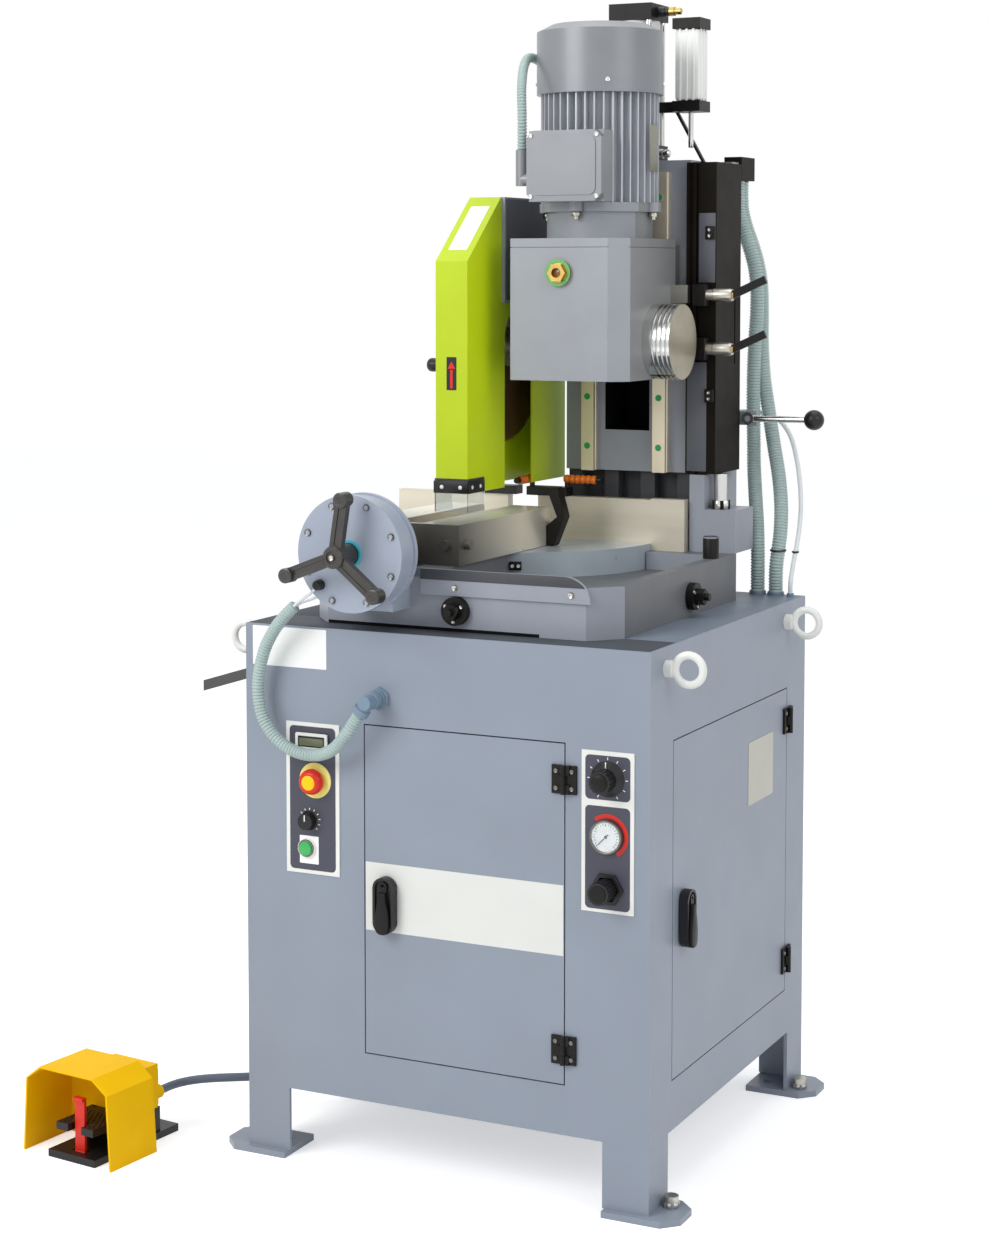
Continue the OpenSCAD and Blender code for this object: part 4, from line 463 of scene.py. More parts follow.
def add_arc(target, at, axis, inner, outer, height, first, sweep, steps):
    """Part of a flat ring, from an angle through a sweep in degrees."""
    part = bmesh.new()
    section = ((inner, 0), (outer, 0), (outer, height), (inner, height))
    corners = [part.verts.new((radius, 0, rise)) for radius, rise in section]
    face = part.faces.new(corners)
    bmesh.ops.spin(part, geom=[face] + list(face.edges) + corners, cent=(0, 0, 0), axis=(0, 0, 1),
                   angle=math.radians(sweep), steps=steps)
    merge(target, part, placed(at, axis) @ Matrix.Rotation(math.radians(first), 4, "Z"))


# Slots of the finishes that have no slot of their own name
SLOTS = {
    "machined_steel": ["steel", "chrome", "aluminium", "screw_grey", "plate_grey", "plate_pale"],
    "black_plastic": ["panel_dark", "screen_olive", "nozzle_orange"],
    "black_metal": ["gap_black", "handle_grey"],
    "white_paint": ["label_white", "band_white", "gauge_white"],
    "machine_paint": ["motor_paint", "side_grey", "low_ribs"],
    "cabinet_paint": ["top_sheet", "top_side"],
    "green_plastic": ["ring_green", "green_cap"],
    "red_plastic": ["amber_plastic"],
    "clear_plastic": ["gauge_glass", "sight_amber"],
    "hose_plastic": ["hose_grey", "gland_blue"],
    "tube_plastic": ["tube_white"],
    "cable_rubber": ["cable_grey"],
    "yellow_plastic": ["yellow_disc"],
    "vice_paint": ["cyan_seal"],
}
SLOT_OF = {look: slot for slot, looks in SLOTS.items() for look in looks}


def mesh_object(name, shape, look):
    mesh = bpy.data.meshes.new(name)
    shape.to_mesh(mesh)
    shape.free()
    mesh.materials.append(finishes[look])
    made = bpy.data.objects.new(name, mesh)
    scene.collection.objects.link(made)
    return made


def piece(name, shape, look, body="frame", slot=None, smooth=SMOOTH_DEGREES):
    """Makes the finished mesh object and lets it ride on a body."""
    bmesh.ops.scale(shape, vec=(MM, MM, MM), verts=shape.verts)
    made = mesh_object(name, shape, look)
    made.data.shade_smooth()
    made.data.set_sharp_from_angle(angle=math.radians(smooth))
    slot = slot or SLOT_OF.get(look, look)
    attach(made, body)
    return made


def single(name, look, add, *sizes, body="frame", slot=None, smooth=SMOOTH_DEGREES):
    """A piece of one shape, made by one of the helpers above from its sizes."""
    shape = bmesh.new()
    add(shape, *sizes)
    return piece(name, shape, look, body, slot, smooth)


# Hoses, tubes and the foot switch's cable, on the routes of the CAD

CURVE_STEPS = 40
TUBE_SIDES = 14
CORD_SMOOTH = 60
RIB_PITCH = 5.2
RIB_DEPTH = 2.0
RINGS_PER_RIB = 4
RIB_SHARES = (0.0, 0.85, 1.0, 0.85)


def curve_point(route, place):
    """Point of the smooth curve through a route."""
    last = len(route) - 1
    index = min(int(place), last - 1)
    share = place - index
    a, b = route[max(index - 1, 0)], route[index]
    c, d = route[index + 1], route[min(index + 2, last)]
    return (2 * b + (c - a) * share + (2 * a - 5 * b + 4 * c - d) * share ** 2
            + (3 * b - a - 3 * c + d) * share ** 3) / 2


def even_points(route, spacing):
    """Points along a route at an even spacing, and the length."""
    route = [Vector(point) for point in route]
    fine = [curve_point(route, k / CURVE_STEPS) for k in range((len(route) - 1) * CURVE_STEPS + 1)]
    total = sum((b - a).length for a, b in zip(fine, fine[1:]))
    count = max(2, round(total / spacing))
    points, walked, target = [fine[0]], 0.0, total / count
    for a, b in zip(fine, fine[1:]):
        step = (b - a).length
        while walked + step >= target and len(points) < count:
            points.append(a.lerp(b, (target - walked) / step))
            target += total / count
        walked += step
    points.append(fine[-1])
    return points, total


def swept(points, radii, side):
    """Rings of a tube along points, extruded one from the other."""
    part = bmesh.new()
    ring = bmesh.ops.create_circle(part, cap_ends=True, segments=TUBE_SIDES, radius=1.0)["verts"]
    loop = list(part.edges)
    flats = {vert: vert.co.copy() for vert in ring}
    for k, point in enumerate(points):
        ahead = points[min(k + 1, len(points) - 1)] - points[max(k - 1, 0)]
        ahead.normalize()
        across = side.cross(ahead).normalized()
        other = ahead.cross(across)
        if k > 0:
            grown = bmesh.ops.extrude_edge_only(part, edges=loop)["geom"]
            ring = {item for item in grown if isinstance(item, bmesh.types.BMVert)}
            loop = [item for item in grown
                    if isinstance(item, bmesh.types.BMEdge) and set(item.verts) <= ring]
            flats = {}
            for vert in ring:
                off = (vert.co - points[k - 1]) / radii[k - 1]
                flats[vert] = Vector((off.dot(last_across), off.dot(last_other), 0))
        for vert, flat in flats.items():
            vert.co = point + radii[k] * (flat.x * across + flat.y * other)
        last_across, last_other = across, other
    bmesh.ops.contextual_create(part, geom=loop)
    bmesh.ops.recalc_face_normals(part, faces=part.faces)
    return part


def ribbed_hose(name, route, radius, side, body="frame"):
    points, length = even_points(route, RIB_PITCH / RINGS_PER_RIB)
    radii = [radius - RIB_DEPTH + RIB_DEPTH * RIB_SHARES[k % RINGS_PER_RIB] for k in range(len(points))]
    hose = piece(name + "_dressed", swept(points, radii, side), "hose_grey", body, smooth=CORD_SMOOTH)
    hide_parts(name)


def plain_cord(name, route, radius, side, look, node):
    points, length = even_points(route, radius)
    cord = piece(name, swept(points, [radius] * len(points), side), look, smooth=CORD_SMOOTH)
    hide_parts(node)


FRONT_ROUTE = [
    (-231, -385, 888), (-251, -382.5, 870.5), (-273, -379, 846), (-291, -376, 816), (-303, -373, 780),
    (-306, -372, 745), (-297.6, -372, 707), (-273.9, -372, 676), (-239.3, -372, 658),
    (-200.4, -374.5, 656.4), (-167, -380.5, 669.5), (-140.94, -386, 695.73), (-129.39, -386, 712.07),
    (-117.85, -386, 728.4)]
REAR_ROUTE_A = [
    (196, 402, 1560), (196, 402, 1535), (198, 402, 1508), (206, 402, 1478), (218, 402, 1446),
    (228, 402, 1412), (233, 402, 1375), (233, 402, 1330), (230, 402, 1280), (228, 402, 1220),
    (228, 402, 1160), (230, 400, 1100), (233.4, 393, 1061), (241.9, 376.2, 1022), (252, 356, 984),
    (260.5, 338.5, 945), (264, 331, 906), (264, 331, 881), (264, 331, 856)]
REAR_ROUTE_B = [
    (193, 430, 1560), (193, 430, 1535), (195, 430, 1508), (203, 430, 1478), (215, 430, 1446),
    (225, 430, 1412), (231, 430, 1375), (232.5, 430, 1330), (233, 429.5, 1280), (238, 427, 1220),
    (251, 417, 1160), (267, 401, 1100), (283, 382, 1048), (294, 363, 1000), (298.5, 347.5, 957),
    (298.3, 337.5, 927), (297.4, 331.7, 904), (297, 330, 884), (297, 330, 870), (297, 330, 856)]
CONDUIT_ROUTE = [
    (-32, 10, 1600), (-32, 10, 1624), (-33, 11.5, 1660), (-40, 25, 1704), (-54, 65.5, 1744),
    (-66, 121, 1759), (-62, 176.5, 1744), (-46, 217, 1703.5), (-37, 231.5, 1655), (-35, 232, 1600),
    (-35, 232, 1550), (-35, 232, 1514), (-35, 232, 1478)]
AIR_ROUTE = [
    (200, 382, 1158), (200, 397, 1158), (203.9, 414.7, 1158), (215, 429.2, 1157.5), (232, 438, 1155),
    (252, 440, 1149), (272, 436, 1135), (291, 427, 1108), (307, 414, 1060), (317, 400, 1006),
    (321.5, 381, 967), (324, 360, 935), (325, 343, 911), (325.8, 332, 894), (326, 325, 881),
    (326, 322, 868), (326, 322, 862), (326, 322, 856)]
VICE_ROUTE_A = [
    (-238.6, -386.9, 881.6), (-231, -387.7, 888), (-221, -389, 896), (-208, -393, 904), (-195, -399, 911),
    (-182.3, -407, 920.4)]
VICE_ROUTE_B = [
    (-238.6, -381.5, 881.6), (-231, -382.3, 888), (-220, -380, 894), (-207, -375, 899), (-196, -371.5, 905),
    (-187.8, -371, 913.2)]
CABLE_ROUTE = [
    (-519.3, -342.5, 68), (-517.5, -327.6, 68), (-515.7, -312.7, 68), (-509, -292, 68),
    (-494, -272, 68.5), (-473, -255, 69), (-449, -239, 69), (-424, -220, 68), (-400, -197, 65.5),
    (-377, -170, 60), (-355, -141, 51.5), (-334, -111, 40), (-314, -82, 27.5), (-295, -55, 16.5),
    (-278, -31, 10), (-264, -11, 8.5), (-249, 10.2, 13.5), (-236.5, 27.8, 28), (-228, 39.7, 49),
    (-225, 44, 71), (-225, 44, 88), (-225, 44, 105)]
CABLE_SIDE = Vector((1, -2, 0))
FRONT_HOSE_R, REAR_HOSE_R, CONDUIT_R = 10, 12.5, 8
AIR_R, VICE_TUBE_R, CABLE_R = 4, 2.5, 7

ribbed_hose("front_hose", FRONT_ROUTE, FRONT_HOSE_R, Y)
ribbed_hose("rear_hose_a", REAR_ROUTE_A, REAR_HOSE_R, Y)
ribbed_hose("rear_hose_b", REAR_ROUTE_B, REAR_HOSE_R, Y)
ribbed_hose("motor_conduit", CONDUIT_ROUTE, CONDUIT_R, X, "head")
TUBES = [("air_tube", AIR_ROUTE, AIR_R), ("vice_tube_a", VICE_ROUTE_A, VICE_TUBE_R),
         ("vice_tube_b", VICE_ROUTE_B, VICE_TUBE_R)]
for name, route, radius in TUBES:
    plain_cord(name, route, radius, Y, "tube_white", "air_tubes")
plain_cord("foot_cable", CABLE_ROUTE, CABLE_R, CABLE_SIDE, "cable_grey", "pedal_cable")


# Cabinet: cards and control plates

PLATE_Y = DOOR_Y - 2
FILM_T = 0.3
FIELD_Y = PLATE_Y - FILM_T
FIELD_CORNER = 7
single("door_band", "band_white", add_card, (38, DOOR_Y, 437.5), FRONT, 336, 107, 0.6, 0.4,
       body="front_door")
single("corner_label", "label_white", add_card, (-265.5, DOOR_Y, 816), FRONT, 133, 62, 1.0, FILM_T)
single("rating_plate", "plate_pale", add_card, (SIDE_X, 126.5, 592), RIGHT, 117, 103, 3.0, 0.6,
       body="side_door")
FIELDS = [("left_field", -223.5, 580.5, 82, 227), ("right_field_upper", 278, 659.5, 72, 66),
          ("right_field_lower", 278, 540, 72, 154)]
for name, x, z, width, length in FIELDS:
    single(name, "panel_dark", add_card, (x, PLATE_Y, z), FRONT, width, length, FIELD_CORNER, FILM_T)

# Painted shadow on the cabinet's top round the base, as thin dark sheets that are lighter on the right and
# at the back, and painted shade in the gap under the base
TOP_Z = 850
SHEET_T = 0.4
SHEET_BEVEL = 0.1
EDGE, SHEET_LEFT, SHEET_RIGHT, SHEET_FRONT, SHEET_BACK = 342, -262, 216, -242, 228
FRONT_FIELDS = [(-EDGE, -EDGE, EDGE, SHEET_FRONT), (-EDGE, SHEET_FRONT, SHEET_LEFT, EDGE)]
SIDE_FIELDS = [(SHEET_RIGHT, SHEET_FRONT, EDGE, EDGE), (SHEET_LEFT, SHEET_BACK, SHEET_RIGHT, EDGE)]
SHADOW_SHEETS = [("top_sheet", "top_sheet", FRONT_FIELDS), ("top_side_sheet", "top_side", SIDE_FIELDS)]
for name, look, fields in SHADOW_SHEETS:
    shape = bmesh.new()
    for left, front, right, back in fields:
        add_block(shape, (left, front, TOP_Z), (right, back, TOP_Z + SHEET_T), SHEET_BEVEL)
    piece(name, shape, look)
GAP_LEFT, GAP_RIGHT, GAP_FRONT, GAP_H = -226, 140, -290.6, 5
single("base_gap", "gap_black", add_block, (GAP_LEFT, GAP_FRONT, TOP_Z + SHEET_T),
       (GAP_RIGHT, GAP_FRONT + 1, TOP_Z + SHEET_T + GAP_H), SHEET_BEVEL)

# Display with a pale surround
DISPLAY_AT = Vector((-223, PLATE_Y - 4, 669))
WINDOW_AT = DISPLAY_AT + 1.2 * FRONT + 2 * UP
SCREEN_AT = DISPLAY_AT + 1.6 * FRONT + 1.5 * UP
single("display_surround", "white_paint", add_card, DISPLAY_AT, FRONT, 57, 31, 3, 1.2)
single("display_window", "black_plastic", add_card, WINDOW_AT, FRONT, 47, 17, 1.5, 0.4)
single("display_screen", "screen_olive", add_card, SCREEN_AT, FRONT, 43, 12, 1.0, FILM_T)

# Emergency stop: yellow disc, red mushroom and its amber middle
ESTOP_AT = Vector((-218, 0, 610))
MUSHROOM = [(0, -30), (10.6, -30), (10.6, 0), (13, 0.6), (19, 1.4), (20, 3), (20, 8), (19, 12),
            (16.5, 15.4), (13.6, 17), (12.2, 17), (11.8, 16), (0, 16)]
MUSHROOM_MIDDLE = [(0, 0), (11.6, 0), (11.6, 1), (9, 2.2), (0, 2.6)]
single("estop_disc", "yellow_disc", add_ring, ESTOP_AT + (PLATE_Y - 2) * Y, FRONT, 12, 28, 0.6, 48)
mushroom = single("estop_mushroom", "red_plastic", add_turned, MUSHROOM, ESTOP_AT + (PLATE_Y - 7.3) * Y,
                  FRONT, 48, body="estop", smooth=50)
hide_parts("estop_button")
single("estop_middle", "amber_plastic", add_turned, MUSHROOM_MIDDLE, ESTOP_AT + (PLATE_Y - 23.2) * Y,
       FRONT, 32, body="estop", smooth=50)

# Timer knob: scale, ring and pointer
TICKS = 11
TIMER_AT = Vector((-229, 0, 546))


def scale_ticks(name, centre, radius, first, last, width, length):
    """White scale marks round a knob, on the panel."""
    shape = bmesh.new()
    for k in range(TICKS):
        angle = math.radians(first + (last - first) * k / (TICKS - 1))
        add_radial(shape, centre, radius, angle, length, width, width / 4, FILM_T)
    piece(name, shape, "label_white")


def pointer(name, centre, half_width, front, back, low, high, body):
    """White pointer on a knob."""
    single(name, "label_white", add_block, centre + Vector((-half_width, PLATE_Y - front, low)),
           centre + Vector((half_width, PLATE_Y - back, high)), 0.2, body=body, slot="black_plastic")


scale_ticks("timer_scale", TIMER_AT + FIELD_Y * Y, 18, 225, -45, 1.4, 3)
single("timer_ring", "screw_grey", add_ring, TIMER_AT + FIELD_Y * Y, FRONT, 15.3, 16.4, 1.5)
pointer("timer_pointer", TIMER_AT, 0.9, 17.3, 16.4, 1, 11, "timer")

# Start button on its white card
START_AT = Vector((-233, 0, 502))
START_DOME = [(0, 0), (10.9, 0), (10.6, 0.9), (8, 1.6), (0, 1.8)]
single("start_card", "label_white", add_card, START_AT + FIELD_Y * Y + 3 * X - 3 * Z, FRONT, 34, 44, 1.0,
       FILM_T)
single("start_ring", "screw_grey", add_ring, START_AT + PLATE_Y * Y, FRONT, 11.6, 14.2, 5.4, 40)
single("start_dome", "green_plastic", add_turned, START_DOME, START_AT + (PLATE_Y - 8.3) * Y, FRONT, 40,
       body="start", smooth=50)

# Feed dial with its scale
DIAL_AT = Vector((278, 0, 658))
DIAL_CAP = [(0, 0), (12, 0), (13, 1.2), (11, 3), (4, 3.4), (0, 3)]
scale_ticks("dial_scale", DIAL_AT + FIELD_Y * Y, 30.5, 240, -60, 1.2, 4)
pointer("dial_pointer", DIAL_AT, 0.8, 8.9, 8.1, 17.5, 26.5, "dial")
single("dial_cap", "black_metal", add_turned, DIAL_CAP, DIAL_AT + (PLATE_Y - 32.3) * Y, FRONT, 40,
       body="dial", slot="black_plastic", smooth=50)

# Pressure gauge: rim, face, marks, needle, glass and the red arc beside it
GAUGE_AT = Vector((278, 0, 573))
GAUGE_FACE_AT = GAUGE_AT + (PLATE_Y - 7) * Y
GAUGE_PRINT_AT = GAUGE_FACE_AT + FILM_T * FRONT
GAUGE_RIM = [(23.2, 0), (25.8, 0), (25.8, 8.6), (25, 9.8), (23.4, 9.8), (22.6, 9), (22.6, 8), (23.2, 7.4)]
GAUGE_STEPS = 20
GAUGE_FIRST, GAUGE_SWEEP = 225, 270
single("gauge_rim", "screw_grey", add_turned, GAUGE_RIM, GAUGE_AT + PLATE_Y * Y, FRONT, 48, smooth=50)
single("gauge_face", "gauge_white", add_disc, GAUGE_FACE_AT, FRONT, 22.8, FILM_T, 40, 0.1)
shape = bmesh.new()
for k in range(GAUGE_STEPS + 1):
    angle = math.radians(GAUGE_FIRST - GAUGE_SWEEP * k / GAUGE_STEPS)
    add_radial(shape, GAUGE_PRINT_AT, 18.5, angle, 5 if k % 5 == 0 else 3, 0.8, 0.2, 0.15)
add_radial(shape, GAUGE_FACE_AT + 0.8 * FRONT, 5, math.radians(GAUGE_FIRST), 22, 1.4, 0.6, 0.3)
add_disc(shape, GAUGE_PRINT_AT, FRONT, 2.4, 1.0)
piece("gauge_marks", shape, "black_plastic")
single("gauge_pane", "gauge_glass", add_disc, GAUGE_FACE_AT + 1.8 * FRONT, FRONT, 22.4, 0.4, 40, 0.1)
single("gauge_arc", "red_plastic", add_arc, GAUGE_AT + FIELD_Y * Y, FRONT, 27, 33, FILM_T, -60, 190, 40)

# Regulator: nut behind its knob and the knob's cap
REGULATOR_AT = Vector((278, 0, 494))
single("regulator_nut", "black_plastic", add_ring, REGULATOR_AT + FIELD_Y * Y, FRONT, 19.6, 26, 5, 6, 0.6,
       smooth=30)
single("regulator_cap", "black_metal", add_disc, REGULATOR_AT + (PLATE_Y - 36.3) * Y, FRONT, 13, 1.6,
       body="regulator", slot="black_plastic")

# Hinge screws
SCREW_SIDE = 13
FRONT_PIN_X, SIDE_PIN_Y = 208, 254
LEAF_T = 4
LEAF_SCREW = (3.6, 1.4)
LEAVES = [("leaf_screws_frame", 1, "frame", "frame"), ("leaf_screws_door", -1, "front_door", "side_door")]
for name, sign, front_body, side_body in LEAVES:
    front, side = bmesh.new(), bmesh.new()
    for row in HINGE_ROWS:
        for step in (-SCREW_SIDE, SCREW_SIDE):
            front_at = (FRONT_PIN_X + sign * SCREW_SIDE, DOOR_Y - LEAF_T, row + step)
            side_at = (SIDE_X + LEAF_T, SIDE_PIN_Y + sign * SCREW_SIDE, row + step)
            add_screw(front, front_at, FRONT, *LEAF_SCREW)
            add_screw(side, side_at, RIGHT, *LEAF_SCREW)
    piece(name + "_front", front, "screw_grey", front_body)
    piece(name + "_side", side, "screw_grey", side_body)

# Paddles of the swing latches, with their lock barrels
PADDLE = [(-6, 22), (-7, 8), (-10, -4), (-12, -20), (-12, -33), (-9, -41), (-4, -44), (4, -44), (9, -41),
          (12, -33), (12, -20), (10, -4), (7, 8), (6, 22)]
LATCH_OUT = 361
LATCH_Z = 428
for name, axis, across in (("front_latch", FRONT, -92 * X), ("side_latch", RIGHT, -216 * Y)):
    at = across + LATCH_OUT * axis + LATCH_Z * Z
    shape = bmesh.new()
    add_outline(shape, PADDLE, 5, 1.6, at, axis)
    add_ring(shape, at + 31 * Z - 4 * axis, axis, 3, 7, 4.4, 24)
    piece(name + "_paddle", shape, "black_metal", name, slot="black_plastic")

# Levelling screws: nut and head
FOOT_X, FOOT_Y = 360, 293
shape = bmesh.new()
for x in (-FOOT_X, FOOT_X):
    for y in (-FOOT_Y, FOOT_Y):
        add_hexagon(shape, (x, y, 10), UP, 13.6, 8.3)
        add_disc(shape, (x, y, 18.2), UP, 11.4, 9.2)
piece("levelling_heads", shape, "steel")

# Gland of the front hose: nut on the wall and sleeves on the elbow
GLAND_AT = Vector((-104, DOOR_Y, 748))
ELBOW_AT = GLAND_AT + 41 * FRONT
ELBOW_HEADING = Vector((-0.5771, 0, -0.8166))
shape = bmesh.new()
add_hexagon(shape, GLAND_AT, FRONT, 18, 7)
add_turned(shape, [(11, 20), (13, 20.4), (13, 30), (11, 30.4)], GLAND_AT, FRONT, 24)
add_turned(shape, [(11, 12), (13.4, 12.6), (13.4, 22.4), (12, 23.6), (11, 23.6)], ELBOW_AT,
           ELBOW_HEADING, 24)
piece("front_gland", shape, "gland_blue", smooth=30)

# Base: splash plate screws, clamp screws, lip and stop bolt
SPLASH_Y = -295
CLAMP_Z, CLAMP_RING, CLAMP_SCREWS, CLAMP_FIRST = 883, 16, 3, 30
shape = bmesh.new()
for x in (0, 195):
    add_screw(shape, (x, SPLASH_Y, 918.6), FRONT, 5, 3)
for angle in turns(CLAMP_SCREWS, CLAMP_FIRST):
    across, rise = CLAMP_RING * math.cos(angle), CLAMP_Z + CLAMP_RING * math.sin(angle)
    add_screw(shape, (1 + across, -302, rise), FRONT, 3.4, 2)
    add_screw(shape, (272, 25 + across, rise), RIGHT, 3.4, 2)
piece("base_screws", shape, "steel")
LIP_LOW, LIP_HIGH, LIP_LEFT = 929.5, 946, -60
LIP = [(LIP_LEFT, LIP_LOW), (218, LIP_LOW), (214, 934), (207, 939), (198, 943.5), (186, LIP_HIGH),
       (LIP_LEFT, LIP_HIGH)]
# The lip's dark grey is painted shade.
single("splash_lip", "low_ribs", add_outline, LIP, 0.5, 0.2, (0, SPLASH_Y, 0), FRONT)
STOP_BOLT = [(0, 0), (13.4, 0), (13.4, 33), (11.6, 36.4), (6, 36.4), (6, 30), (0, 30)]
single("stop_bolt", "black_metal", add_turned, STOP_BOLT, (247, 150, 930), UP, 24)

# Index block on the turntable's rim
RIM_FACING = Vector((0.383, -0.924, 0))
RIM_ALONG = Vector((0.924, 0.383, 0))
INDEX_AT = Vector((-126, 212, 920)) + 240 * RIM_FACING
single("index_block", "black_metal", add_block, (-10, -7, -1), (10, 7, 7), 0.8,
       placed(INDEX_AT, RIM_FACING))
shape = bmesh.new()
for step in (-5, 5):
    add_screw(shape, INDEX_AT + 7 * RIM_FACING + step * RIM_ALONG, RIM_FACING, 3, 1.2)
piece("index_screws", shape, "white_paint", slot="machined_steel")

# Vice: cover screws, seal, fitting, handle caps
VICE_AT = Vector((-126, 0, 975))
COVER_AT = VICE_AT - 400 * Y
COVER_RING, COVER_SCREWS, COVER_FIRST = 78, 8, 22.5
shape = bmesh.new()
for angle in turns(COVER_SCREWS, COVER_FIRST):
    add_screw(shape, COVER_AT + COVER_RING * around(angle), FRONT, 5.6, 3)
piece("cover_screws", shape, "screw_grey")
single("shaft_seal", "cyan_seal", add_ring, COVER_AT, FRONT, 17.6, 22, 3.2)
VICE_FITTING = [(0, 0), (8.4, 0), (8.4, 5), (7.4, 6), (7.4, 12.4), (5.4, 14), (0, 14)]
single("vice_fitting", "black_plastic", add_turned, VICE_FITTING, (-176.8, -400, 925.9), FRONT, 20)
ARMS, ARM_FIRST, ARM_REACH = 3, 81, 88
ARM_CAP = [(0, 0.4), (4, 0.4), (4.6, 1.2), (8.6, 1.6), (9.4, 0.8), (11.3, 0)]
HUB_CAP = [(0, 5), (4.6, 5), (5.2, 3.6), (9, 3.6), (9.6, 5.4), (14.6, 5.4), (17, 3), (17, -8)]
shape = bmesh.new()
for angle in turns(ARMS, ARM_FIRST):
    add_turned(shape, ARM_CAP, VICE_AT - 453 * Y + ARM_REACH * around(angle), FRONT, 24)
add_turned(shape, HUB_CAP, VICE_AT - 448.3 * Y, FRONT, 32)
piece("handle_caps", shape, "handle_grey", "handle")
single("handle_screw", "steel", add_screw, VICE_AT - 452.6 * Y, FRONT, 4.4, 3, body="handle")

# Guard: strip with rivets, bare card on the slope, turning arrow
GUARD_LEFT, GUARD_RIGHT, GUARD_FRONT = -154, -96, -62
GUARD_MIDDLE = -125
STRIP_LOW, STRIP_HIGH, STRIP_OUT, STRIP_T = 1040, 1060, 3, 1.5
STRIP_FRONT = GUARD_FRONT - STRIP_OUT
RIVET = [(0, 1.4), (2, 1.2), (3.4, 0)]
RIVET_Z = 1050
shape = bmesh.new()
add_block(shape, (GUARD_LEFT - STRIP_OUT, STRIP_FRONT, STRIP_LOW),
          (GUARD_RIGHT + STRIP_OUT, STRIP_FRONT + STRIP_T, STRIP_HIGH), 0.4)
for x in (GUARD_LEFT - STRIP_OUT, GUARD_RIGHT + STRIP_OUT - STRIP_T):
    add_block(shape, (x, STRIP_FRONT, STRIP_LOW), (x + STRIP_T, -4, STRIP_HIGH), 0.4)
piece("flap_strip", shape, "black_plastic")
shape = bmesh.new()
for x in (GUARD_LEFT + 12, GUARD_RIGHT - 12):
    add_turned(shape, RIVET, (x, STRIP_FRONT, RIVET_Z), FRONT, 16)
for y in (GUARD_FRONT + 12, GUARD_FRONT + 42):
    add_turned(shape, RIVET, (GUARD_RIGHT + STRIP_OUT, y, RIVET_Z), RIGHT, 16)
piece("flap_rivets", shape, "white_paint")
SLOPE = Vector((0, -107, 125)).normalized()
ARROW_Y = GUARD_FRONT - FILM_T
ARROW_T = 0.2
single("slope_card", "label_white", add_card, (GUARD_MIDDLE, 2, 1473.8), SLOPE, 34, 112, 1.5, FILM_T)
single("arrow_card", "black_plastic", add_card, (GUARD_MIDDLE, GUARD_FRONT, 1236), FRONT, 18, 54, 1.0,
       FILM_T)
shape = bmesh.new()
add_card(shape, (GUARD_MIDDLE, ARROW_Y, 1227), FRONT, 4.4, 30, 0.4, ARROW_T)
part = bmesh.new()
bmesh.ops.create_circle(part, cap_ends=True, segments=3, radius=8)
raised(part, part.faces, ARROW_T)
merge(shape, part, placed((GUARD_MIDDLE, ARROW_Y, 1248), FRONT))
piece("turning_arrow", shape, "red_plastic")

# Handle on the guard's left, over the stub of the CAD
HANDLE_AT = (GUARD_LEFT, 30, 1246)
HANDLE = [(0, 0), (16.2, 0), (16.2, 13.8), (15.4, 14.8), (7.4, 15.4), (6.4, 19), (7, 26), (9.6, 39),
          (11.2, 47), (11.8, 53), (11, 57.6), (8.4, 60.6), (4, 61.8), (0, 62)]
single("guard_knob", "black_plastic", add_turned, HANDLE, HANDLE_AT, LEFT, 24, smooth=40)
# A darker grey card on the right face of the mount plate: painted shade.
single("mount_face", "side_grey", add_card, (-90, 193, 1439), RIGHT, 246, 168, 2, FILM_T)

# Coolant nozzles: strings of orange ball joints with a black tip
BEAD_R, BEAD_STEP, BEAD_HALF, BEAD_ARCS, BEADS = 7.6, 10, 5, 8, 6
NOZZLE_TIP = [(0, 0), (5.6, 0), (5.6, 3), (4.8, 10), (0, 10)]


def nozzle(name, at, axis):
    reaches = [-BEAD_HALF + 2 * BEAD_HALF * j / BEAD_ARCS for j in range(BEAD_ARCS + 1)]
    bead = [(math.sqrt(BEAD_R ** 2 - reach ** 2), reach) for reach in reaches]
    bead = [(0, -BEAD_HALF)] + bead + [(0, BEAD_HALF)]
    at = Vector(at)
    shape = bmesh.new()
    for k in range(BEADS):
        add_turned(shape, bead, at + k * BEAD_STEP * axis, axis, 20)
    piece(name + "_beads", shape, "nozzle_orange", smooth=60)
    single(name + "_tip", "black_plastic", add_turned, NOZZLE_TIP,
           at + (BEADS * BEAD_STEP - BEAD_HALF) * axis, axis, 20)


nozzle("right_nozzle", (-46, 222, 1045), RIGHT)
nozzle("left_nozzle", (-108, 212, 1045), FRONT)

# Gearbox and motor: screws, lid panel, bolts, sight glass, bare plate
MOTOR_X, MOTOR_Y = 54, 130
BOX_FRONT = -16
COWL_R, COWL_SCREWS, COWL_FIRST, COWL_SCREW_Z = 105, 4, -60, 1712
FLANGE_Z, FLANGE_REACH = 1500, 96
shape = bmesh.new()
for x in (-4, 112):
    for z in (1523, 1621):
        add_screw(shape, (x, BOX_FRONT, z), FRONT, 4, 2)
for angle in turns(COWL_SCREWS, COWL_FIRST):
    outward = Vector((math.cos(angle), math.sin(angle), 0))
    add_screw(shape, Vector((MOTOR_X, MOTOR_Y, COWL_SCREW_Z)) + COWL_R * outward, outward, 4, 2)
piece("motor_screws", shape, "chrome", "head")
single("box_panel", "motor_paint", add_card, (MOTOR_X, BOX_FRONT, 1572), FRONT, 112, 94, 12, 1.6,
       body="head")
shape = bmesh.new()
for x, y in ((-FLANGE_REACH, 0), (FLANGE_REACH, 0), (0, -FLANGE_REACH), (0, FLANGE_REACH)):
    add_hexagon(shape, (MOTOR_X + x, MOTOR_Y + y, FLANGE_Z), DOWN, 8, 8)
    add_disc(shape, (MOTOR_X + x, MOTOR_Y + y, FLANGE_Z), DOWN, 4, 13)
piece("flange_bolts", shape, "steel", "head")
SIGHT_X, SIGHT_Z = 41, 1400
